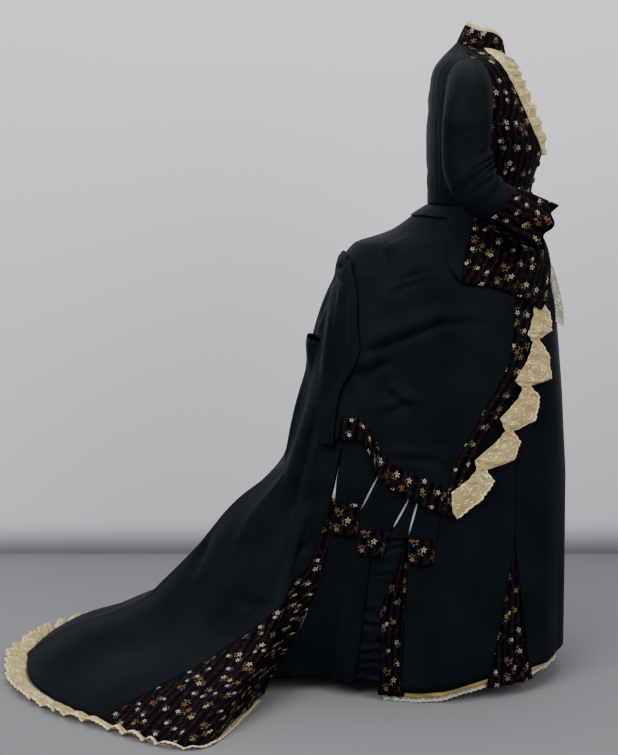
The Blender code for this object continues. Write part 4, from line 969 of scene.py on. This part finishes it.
# Back fall: satin from the top of the bustle, caught up in a soft knot and folded over the train's head.
FALL_OUT, FALL_OUT_BACK, FALL_KNOT, FALL_DEEPEST = 0.0185, 0.0110, 0.008, 0.004
FALL_TOP, FALL_FOOT = 0.918, 0.744
FALL_SIDE_TOP, FALL_SIDE_FOOT = 0.905, 0.530
FALL_EDGE = (
    Edge(0.530, 6.10), Edge(0.590, 6.20), Edge(0.655, 6.18), Edge(0.700, 5.92), Edge(0.732, 5.84),
    Edge(0.770, 6.00), Edge(0.853, 6.60), Edge(0.915, 7.90),
)
FALL_CREASES = (
    Crease(((9.90, 0.908), (8.70, 0.892), (7.60, 0.905)), 0.0050, 0.010),
    Crease(((9.60, 0.880), (8.40, 0.860), (7.30, 0.868)), 0.0045, 0.010),
    Crease(((7.05, 0.868), (6.55, 0.800), (6.35, 0.700), (6.30, 0.600)), 0.0050, 0.010),
    Crease(((7.90, 0.855), (7.35, 0.780), (7.05, 0.690), (6.85, 0.600)), -0.0055, 0.014),
    Crease(((8.70, 0.850), (8.30, 0.790), (8.10, 0.745)), 0.0045, 0.012),
    Crease(((9.40, 0.850), (9.30, 0.800), (9.25, 0.760)), -0.0035, 0.012),
)


def fall_form(u, v):
    side_height = FALL_SIDE_FOOT + (FALL_SIDE_TOP - FALL_SIDE_FOOT) * v
    back_height = FALL_FOOT + (FALL_TOP - FALL_FOOT) * v
    near = edge_gore(FALL_EDGE, side_height)
    place = ease((np.abs(u) - 0.42) / 0.50)
    height = back_height + (side_height - back_height) * place
    gore = BACK + (BACK - near) * u
    flutes = 0.0025 * np.cos(u * np.pi * 6) * ease(1.2 - v)
    clear = np.abs(gore - BACK) + edge_gore(DRAPE_BACK, height) - BACK
    rise = FALL_OUT_BACK + (FALL_OUT - FALL_OUT_BACK) * ease((clear + 0.9) / 0.6)
    knot = FALL_KNOT * np.exp(-((u / 0.30) ** 2) - ((v - 0.90) / 0.12) ** 2)
    calm = ease((1 - np.abs(u)) * 9) * ease(np.abs(u) * 9) * ease(v * 8) * ease((1 - v) * 8)
    folds = creased(BACK - np.abs(gore - BACK), height, FALL_CREASES) * calm
    return off_skirt(gore, height, rise + flutes + knot + np.maximum(folds, -FALL_DEEPEST))


cloth("back_fall", fall_form, steps(-1, 1, 160), steps(0, 1, 70), SATIN)

# Streamers: two narrow falls of white lace from under the basque, down the centre front.
STREAMER_FOOT, STREAMER_TOP, STREAMER_OUT = 0.775, 0.955, 0.0110


def streamers(u, v):
    height = STREAMER_FOOT + (STREAMER_TOP - STREAMER_FOOT) * v
    hang = ease((1 - v) * 2.5)
    folds = 0.0040 * np.cos(u * np.pi * 3) + 0.0014 * np.cos(u * np.pi * 9 + v * 4)
    out = SEAM_GAP + LACE + (STREAMER_OUT + folds) * hang
    ragged = 0.006 * np.sin(u * 11) * (1 - v)
    return off_skirt(u * (0.55 + 0.35 * (1 - v)), height + ragged, out)


cloth("front_streamers", streamers, steps(-1, 1, 90), steps(0, 1, 50), WHITE_LACE, edge="foot")

# Bodice: velvet fronts, buttoned to the waist and running on into a pointed, pleated basque, and silk backs
# in shaped breadths. The two join at the side seams and across the shoulders.
BASQUE_OUT = 0.0225
SIDE_TURN, SHOULDER_SEAM_BACK = 97.0, 30.0
UNDERARM, SHOULDER_TIP = 2.90, 5.02
ARMHOLE_FRONT, ARMHOLE_BACK, ARMHOLE_ROUND = 20.0, 33.0, 0.62
FRONT_POINT_TURN, EDGE_TURN = 47.0, 0.02
PLEATS, BASQUE_PLEAT = 4.5, 0.0034
# The back's two shaping seams: where each starts at the waist, as a share of the way round, and how it leans
BACK_SEAMS, BACK_SEAM_WIDTH, BACK_SEAM_DEPTH = ((0.28, 0.16), (0.58, 0.12)), 0.018, 0.0011
Hem = namedtuple("Hem", "turn height")
BASQUE_HEM = (
    Hem(0, 0.930), Hem(24, 0.870), Hem(47, 0.812), Hem(52, 0.823), Hem(60, 0.840), Hem(72, 0.857),
    Hem(97, 0.870),
)
BACK_HEM = (
    Hem(97, 0.870), Hem(102, 0.886), Hem(107, 0.906), Hem(114, 0.965), Hem(122, 0.998), Hem(135, 1.004),
    Hem(180, 1.004),
)
BODICE_ROWS = np.concatenate([steps(-1, 0, 38), steps(0, UNDERARM, 34)[1:], steps(UNDERARM, NECK, 38)[1:]])


def off_bodice(turn, ring, out):
    turn, ring = flat(turn, ring)
    facing = outward(on_rings, turn, np.clip(ring, 0.02, NECK - 0.02), (0.5, 0.02))
    return on_rings(turn, ring) + facing * np.reshape(out, (-1, 1))


def side_turn(ring):
    """Where front meets back: the side seam, then the shoulder seam, which swings back to the neck."""
    return SIDE_TURN + SHOULDER_SEAM_BACK * ease((ring - SHOULDER_TIP) / (NECK - SHOULDER_TIP))


def armhole(ring, reach):
    share = np.clip((ring - UNDERARM) / (SHOULDER_TIP - UNDERARM), 0, 1)
    return reach * np.sin(np.pi * share) ** ARMHOLE_ROUND


def on_body(turn, ring, hem, out):
    """The bodice with its skirted basque: ring 0 is the waist and -1 the basque's hem."""
    turn, ring = flat(turn, ring)
    out = np.broadcast_to(out, turn.shape)
    hem_height = smooth([row.turn for row in hem], [row.height for row in hem], np.abs(turn))
    height = WAIST_HEIGHT + np.minimum(ring, 0) * (WAIST_HEIGHT - hem_height)
    gore = np.interp(np.abs(turn), [seam.turn for seam in SEAMS], range(len(SEAMS))) * np.sign(turn)
    rise = BASQUE_OUT_WAIST + (BASQUE_OUT - BASQUE_OUT_WAIST) * ease((WAIST_HEIGHT - height) / 0.120)
    below = off_skirt(gore, height, rise + out)
    return np.where((ring > 0)[:, None], off_bodice(turn, np.maximum(ring, 0), out), below)


for word, side in SIDES.items():

    def front_form(u, v, side=side):
        outer = side_turn(v) - armhole(v, ARMHOLE_FRONT)
        near = EDGE_TURN + (FRONT_POINT_TURN - EDGE_TURN) * np.clip(-v, 0, 1) ** 1.15
        share = from_front(u, side)
        pleats = BASQUE_PLEAT * (1 - 2 * np.abs(np.sin(share * PLEATS * np.pi - 0.25)) ** 0.7)
        pleats = pleats * ease(-v * 1.3) * (ease(3 * share) * ease(3 * (1 - share)))
        strain = 0.0010 * np.sin(v * 9 + share * 3) * ease((v - 0.1) / 0.4) * ease((2.2 - v) / 0.5) * share
        return on_body(side * (near + (outer - near) * share), v, BASQUE_HEM, pleats + strain)

    def back_form(u, v, side=side):
        gap = SEAM_GAP / RINGS[0].half_width * 57.3
        near, far = side_turn(v) + 3 * gap + armhole(v, ARMHOLE_BACK), 180 - EDGE_TURN
        share = from_front(u, side)
        pull = 0.0009 * np.sin(v * 7 - share * 5) * ease((v - 0.4) / 0.5) * ease((4.5 - v) / 1.0)
        seams = sum(
            np.exp(-(((share - at - lean * np.maximum(v, 0) / NECK) / BACK_SEAM_WIDTH) ** 2))
            for at, lean in BACK_SEAMS
        )
        seams = -BACK_SEAM_DEPTH * seams * ease(share * 12) * ease((1 - share) * 12)
        return on_body(side * (near + (far - near) * share), v, BACK_HEM, pull + seams)

    cloth(f"bodice_front_{word}", front_form, steps(0, 1, 80), BODICE_ROWS, FLOWERED)
    cloth(f"bodice_back_{word}", back_form, steps(0, 1, 64), BODICE_ROWS, SATIN)

# Collar: a standing band of velvet, hooked at the front, with a tightly gathered frill basted inside its top.
COLLAR_TOP = Ring("collar top", 1.384, 1.402, 1.420, 0.056, -0.037, 0.006, 0.047)
COLLAR_END, COLLAR_HEIGHT = 0.8, 0.036
FRILL_WAVES, FRILL_FOOT, FRILL_IN, FRILL_END = 34, 0.45, 0.0042, 4


def on_collar(turn, share, out):
    """The collar's outer face, share 0 at the neck seam and 1 at its top."""
    turn, share = flat(turn, share)
    base = on_rings(turn, NECK) + (0, 0, 0.0008)
    forward, across = np.cos(np.radians(turn)), np.sin(np.radians(turn))
    rim = COLLAR_TOP
    depth = np.where(forward > 0, rim.side_y - rim.front_y, rim.back_y - rim.side_y)
    rise = np.where(forward > 0, rim.front_z - rim.side_z, rim.back_z - rim.side_z)
    x = rim.half_width * np.abs(across) ** 0.9 * np.sign(across)
    top = np.stack([x, rim.side_y - depth * forward, rim.side_z + rise * forward**2], 1)
    outside = np.stack([across, -forward, np.zeros_like(across)], 1)
    return base + (top - base) * share[:, None] + outside * np.reshape(out, (-1, 1))


def frill_form(u, v):
    wave = 0.0016 * np.cos(np.radians(u * FRILL_WAVES) + np.sin(np.radians(u * 5))) * v
    reach = 0.010 + 0.0012 * np.cos(np.radians(u * FRILL_WAVES))
    return on_collar(u, FRILL_FOOT + v * (1 - FRILL_FOOT + reach / COLLAR_HEIGHT), -FRILL_IN + wave)


cloth(
    "collar", lambda u, v: on_collar(u, v, 0.0), steps(COLLAR_END, 360 - COLLAR_END, 180), steps(0, 1, 16),
    FLOWERED,
)
cloth(
    "collar_frill", frill_form, steps(FRILL_END, 360 - FRILL_END, 700), steps(0, 1, 8)[::-1], CREAM_LACE,
    flip=True, edge="foot",
)

# Jabot: a fall of cream lace down each front edge from under the collar, tacked down in loose zigzags.
Lace = namedtuple("Lace", "ring inner outer")
JABOT = (
    Lace(1.75, 2.0, 22.0), Lace(2.20, 1.0, 33.0), Lace(3.00, 1.0, 40.0), Lace(4.00, 1.0, 48.0),
    Lace(5.00, 1.5, 60.0), Lace(5.93, 4.0, 88.0),
)
JABOT_OUT, JABOT_WAVE = 0.0022, 0.0030

for word, side in SIDES.items():

    def jabot_form(u, v, side=side):
        rings = [row.ring for row in JABOT]
        inner = smooth(rings, [row.inner for row in JABOT], v)
        outer = smooth(rings, [row.outer for row in JABOT], v)
        share = from_front(u, side)
        wave = JABOT_WAVE * (1 + np.cos(v * 2 * np.pi * 2.2 + share))
        wave += 0.0012 * (1 + np.cos(v * 2 * np.pi * 6.3 + share * 4)) + 0.0006 * np.cos(v * 60)
        wave *= ease(1.6 * (1 - share) + 0.2) * ease((6.1 - v) * 1.5)
        return off_bodice(side * (inner + (outer - inner) * share), v, JABOT_OUT + LACE + wave)

    cloth(
        f"jabot_{word}", jabot_form, steps(0, 1, 36), steps(JABOT[0].ring, JABOT[-1].ring, 180), CREAM_LACE,
        edge="start" if side > 0 else "end",
    )

# Buttons: three flat moulds covered in the velvet, down the centre front below the lace.
BUTTON_RINGS = (0.42, 0.94, 1.46)
BUTTON_RADIUS, BUTTON_HEIGHT, BUTTON_GAP = 0.0068, 0.0050, 0.0005

for number, ring in enumerate(BUTTON_RINGS, 1):
    below, above = on_rings(0.0, ring - 0.1)[0], on_rings(0.0, ring + 0.1)[0]
    rise = (above - below) / np.linalg.norm(above - below)
    facing = np.array([0, -rise[2], rise[1]])
    centre = on_rings(0.0, ring)[0] - (0, 0, HELD_HEIGHT)
    mesh = bmesh.new()
    bmesh.ops.create_uvsphere(mesh, u_segments=32, v_segments=18, radius=BUTTON_RADIUS)
    layer = mesh.loops.layers.uv.new("UVMap")
    for face in mesh.faces:
        for loop in face.loops:
            loop[layer].uv = (loop.vert.co.x + 0.021 * number, loop.vert.co.y)
    for vertex in mesh.verts:
        x, y, z = vertex.co
        out = BUTTON_GAP + BUTTON_HEIGHT / 2 * (1 + z / BUTTON_RADIUS)
        vertex.co = centre + (x, 0, 0) + y * rise + out * facing
    bmesh.ops.recalc_face_normals(mesh, faces=mesh.faces)
    data = bpy.data.meshes.new(f"button_{number}")
    mesh.to_mesh(data)
    mesh.free()
    data.shade_smooth()
    data.materials.append(FLOWERED)
    button = placed(f"button_{number}", data)
    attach(button, "root")
    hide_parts(f"button_{number}")

# Sleeves: close satin sleeves cut to bend at the elbow, eased full at the head, and creased inside the bend.
ArmRing = namedtuple("ArmRing", "name x y z deep wide lean tilt")
SLEEVE = (
    ArmRing("upper arm", 0.214, 0.060, 1.208, 0.0500, 0.0420, 84, 0),
    ArmRing("middle arm", 0.215, 0.061, 1.160, 0.0490, 0.0420, 90, 5),
    ArmRing("above elbow", 0.222, 0.058, 1.118, 0.0500, 0.0420, 90, 20),
    ArmRing("elbow", 0.226, 0.042, 1.083, 0.0505, 0.0420, 90, 45),
    ArmRing("below elbow", 0.225, 0.016, 1.054, 0.0480, 0.0420, 90, 62),
    ArmRing("forearm", 0.217, -0.020, 1.036, 0.0430, 0.0390, 90, 69),
    ArmRing("wrist", 0.208, -0.056, 1.022, 0.0385, 0.0360, 90, 71),
)
SLEEVE_HEAD, SLEEVE_OUT, SLEEVE_SEAM_GAP, WRINKLE_WIDTH = 0.030, 0.0025, 0.25, 0.16
# Each row: place down the arm, degrees round it, how far it runs round, depth, and how far it slopes
Wrinkle = namedtuple("Wrinkle", "place turn reach depth slope")
WRINKLES = (
    Wrinkle(1.10, 20, 60, 0.0020, 0.30), Wrinkle(1.75, 10, 75, 0.0045, 0.35),
    Wrinkle(2.30, 15, 70, 0.0050, 0.20), Wrinkle(2.85, 10, 65, 0.0050, 0.00),
    Wrinkle(3.40, 20, 70, 0.0040, -0.25), Wrinkle(4.10, 30, 60, 0.0030, -0.30),
    Wrinkle(2.55, 110, 45, 0.0020, 0.15), Wrinkle(0.20, 60, 80, 0.0008, 0.25),
)


def on_arm(rows, round_turn, place):
    """A tube of rings: round_turn is degrees from the arm's front, place counts down the table."""
    table = np.array([row[1:] for row in rows])
    x, y, z, deep, wide, lean, tilt = (smooth(range(len(rows)), column, place) for column in table.T)
    tilt, lean, around = np.radians(tilt), np.radians(lean), np.radians(round_turn)
    nil = np.zeros_like(tilt)
    front = np.stack([nil, -np.cos(tilt), np.sin(tilt)], 1)
    outer = np.stack([np.sin(lean), nil, np.cos(lean)], 1)
    forward, sideways = deep * np.cos(around), wide * np.sin(around)
    return np.stack([x, y, z], 1) + front * forward[:, None] + outer * sideways[:, None]


def armhole_ring(round_turn, out):
    """The sleeve's top edge, laid round the armhole: 0 is its front, 90 its top."""
    around = np.radians(round_turn)
    middle, reach = (UNDERARM + SHOULDER_TIP) / 2, (SHOULDER_TIP - UNDERARM) / 2 + 0.06
    cosine = np.cos(around)
    reach_round = np.where(cosine > 0, ARMHOLE_FRONT + 2, ARMHOLE_BACK + 2)
    turn = SIDE_TURN - reach_round * np.sign(cosine) * np.abs(cosine) ** 0.9
    return off_bodice(turn, middle + reach * np.sin(around), out)


for word, side in SIDES.items():

    def sleeve_form(u, v, side=side):
        tube = on_arm(SLEEVE, u, np.maximum(v, 0))
        centre = (tube + on_arm(SLEEVE, u + 180, np.maximum(v, 0))) / 2
        away = (tube - centre) / np.linalg.norm(tube - centre, axis=1, keepdims=True)
        folds = np.zeros(len(u))
        for wrinkle in WRINKLES:
            turned = (u - wrinkle.turn + 180) % 360 - 180
            line = (v - wrinkle.place - wrinkle.slope * turned / 60) / WRINKLE_WIDTH
            lip = line * np.exp(0.5 - 0.5 * line**2)
            folds -= wrinkle.depth * lip * np.exp(-((turned / wrinkle.reach) ** 2)) * ease(v + 0.6)
        rise = np.clip(-v, 0, 1)
        head = SLEEVE_HEAD * np.sin(np.pi * rise) * (0.5 + 0.5 * np.sin(np.radians(u))) ** 1.5
        gathers_in = 0.0012 * np.cos(np.radians(u) * 22) * rise**2 * (0.5 + 0.5 * np.sin(np.radians(u)))
        swell = head[:, None] * np.array([0.75, 0, 0.66]) + away * (folds * (1 - rise) + gathers_in)[:, None]
        return (tube + (armhole_ring(u, SLEEVE_OUT) - tube) * rise[:, None] + swell) * (side, 1, 1)

    for part, start in (("outer", 0), ("under", 180)):
        cloth(
            f"sleeve_{part}_{word}", sleeve_form,
            steps(start + SLEEVE_SEAM_GAP, start + 180 - SLEEVE_SEAM_GAP, 48), steps(-1, 6, 110), SATIN,
            flip=side < 0,
        )

# Cuffs: turned velvet, set slantwise on the sleeve and opening in three broad folds over the hand.
CUFF = (
    ArmRing("cuff seam", 0.216, -0.030, 1.031, 0.0482, 0.0460, 90, 69),
    ArmRing("cuff middle", 0.206, -0.068, 1.012, 0.0480, 0.0440, 90, 70),
    ArmRing("cuff edge", 0.196, -0.110, 0.992, 0.0500, 0.0450, 90, 71),
)
CUFF_DIP, CUFF_AXIS = 0.040, np.array([0, -0.940, -0.342])

for word, side in SIDES.items():

    def cuff_form(u, v, side=side):
        around = np.radians(u)
        start = (0.5 - 0.5 * np.cos(around)) * (1 - v / 2) * CUFF_DIP
        tube = on_arm(CUFF, u, v)
        centre = (tube + on_arm(CUFF, u + 180, v)) / 2
        away = (tube - centre) / np.linalg.norm(tube - centre, axis=1, keepdims=True)
        lobes = np.cos(6 * (around - 0.35))
        fold = (0.0035 * lobes + 0.0010 * np.cos(around * 13)) * ease(v)
        start = start - 0.006 * lobes * ease(v - 0.8)
        return (tube - CUFF_AXIS * start[:, None] + away * fold[:, None]) * (side, 1, 1)

    cloth(
        f"cuff_{word}", cuff_form, steps(0, 360, 120), steps(0, 2, 32), FLOWERED, ring=True, flip=side < 0,
    )

# Studio: a pale wall behind a grey floor, broad soft light from above and before the dress, and a long lens.
FLOOR, FLOOR_TONE = -HELD_HEIGHT, "#7c7c7e"


def plain(name, code, roughness=0.9):
    made = bpy.data.materials.new(name)
    made.use_nodes = True
    shader = made.node_tree.nodes["Principled BSDF"]
    shader.inputs["Base Color"].default_value = linear(code)
    shader.inputs["Roughness"].default_value = roughness
    return made


def wall_shaded_at_foot(name, low_code, high_code, reach):
    """A wall with painted shade at its foot: it takes up the floor's grey softly there, in place of the
    shading across a backdrop's bend.
    """
    made = plain(name, high_code)
    tree = made.node_tree
    place = tree.nodes.new("ShaderNodeNewGeometry").outputs["Position"]
    parts = node(tree, "ShaderNodeSeparateXYZ", {0: place})
    rise = node(
        tree, "ShaderNodeMapRange", {"Value": parts.outputs[2], "From Min": FLOOR, "From Max": FLOOR + reach},
        interpolation_type="SMOOTHSTEP",
    )
    # Painted shade: the wall darkens to the floor's grey over its lowest reach.
    tone = blend(tree, rise.outputs["Result"], low_code, high_code)
    tree.links.new(tone, tree.nodes["Principled BSDF"].inputs["Base Color"])
    return made


def board(name, corners, finish):
    data = bpy.data.meshes.new(name)
    data.from_pydata(corners, [], [(0, 1, 2, 3)])
    data.materials.append(finish)
    placed(name, data)


# The wall stands just behind the train; the floor runs on under it
WALL_X, WALL_LOW, WALL_TOP, ROOM, FLOOR_END, FLOOR_DROP = 0.90, FLOOR - 0.1, 3, 6, 1.6, 0.0006
floor_z = FLOOR - FLOOR_DROP
board(
    "studio_floor",
    [(x, y, floor_z) for x, y in ((-ROOM, -ROOM), (FLOOR_END, -ROOM), (FLOOR_END, ROOM), (-ROOM, ROOM))],
    plain("studio_floor", FLOOR_TONE),
)
board(
    "studio_wall",
    [(WALL_X, y, z) for y, z in ((-ROOM, WALL_LOW), (ROOM, WALL_LOW), (ROOM, WALL_TOP), (-ROOM, WALL_TOP))],
    wall_shaded_at_foot("studio_wall", FLOOR_TONE, "#efeff3", 0.11),
)

Lamp = namedtuple("Lamp", "name place aim size power")
LAMPS = (
    Lamp("key", (-2.6, 2.2, 1.6), (0, 0.2, -0.6), 2.2, 95),
    Lamp("fill", (-2.6, -2.4, 1.0), (0, 0, -0.5), 2.6, 72),
    Lamp("top", (-0.3, 0.2, 2.2), (0, 0.2, -0.5), 2.4, 50),
)
for lamp in LAMPS:
    light = bpy.data.lights.new(lamp.name, "AREA")
    light.shape, light.size, light.energy = "SQUARE", lamp.size, lamp.power
    made = placed(lamp.name, light)
    made.location = lamp.place
    made.rotation_euler = (Vector(lamp.aim) - Vector(lamp.place)).to_track_quat("-Z", "Y").to_euler()

world = bpy.data.worlds.new("studio")
world.use_nodes = True
world.node_tree.nodes["Background"].inputs["Color"].default_value = linear("#dfe2ea")
world.node_tree.nodes["Background"].inputs["Strength"].default_value = 0.55
bpy.context.scene.world = world

# The photo's view: from the wearer's right, 1.15 m up and looking 8.42 degrees down
lens = bpy.data.cameras.new("camera")
lens.lens, lens.sensor_width = 73.04, 36.0
camera = placed("camera", lens)
camera.location = (-3.4, 0.3845, FLOOR + 1.15)
camera.rotation_euler = (np.radians(90 - 8.42), 0, np.radians(-90))
bpy.context.scene.camera = camera
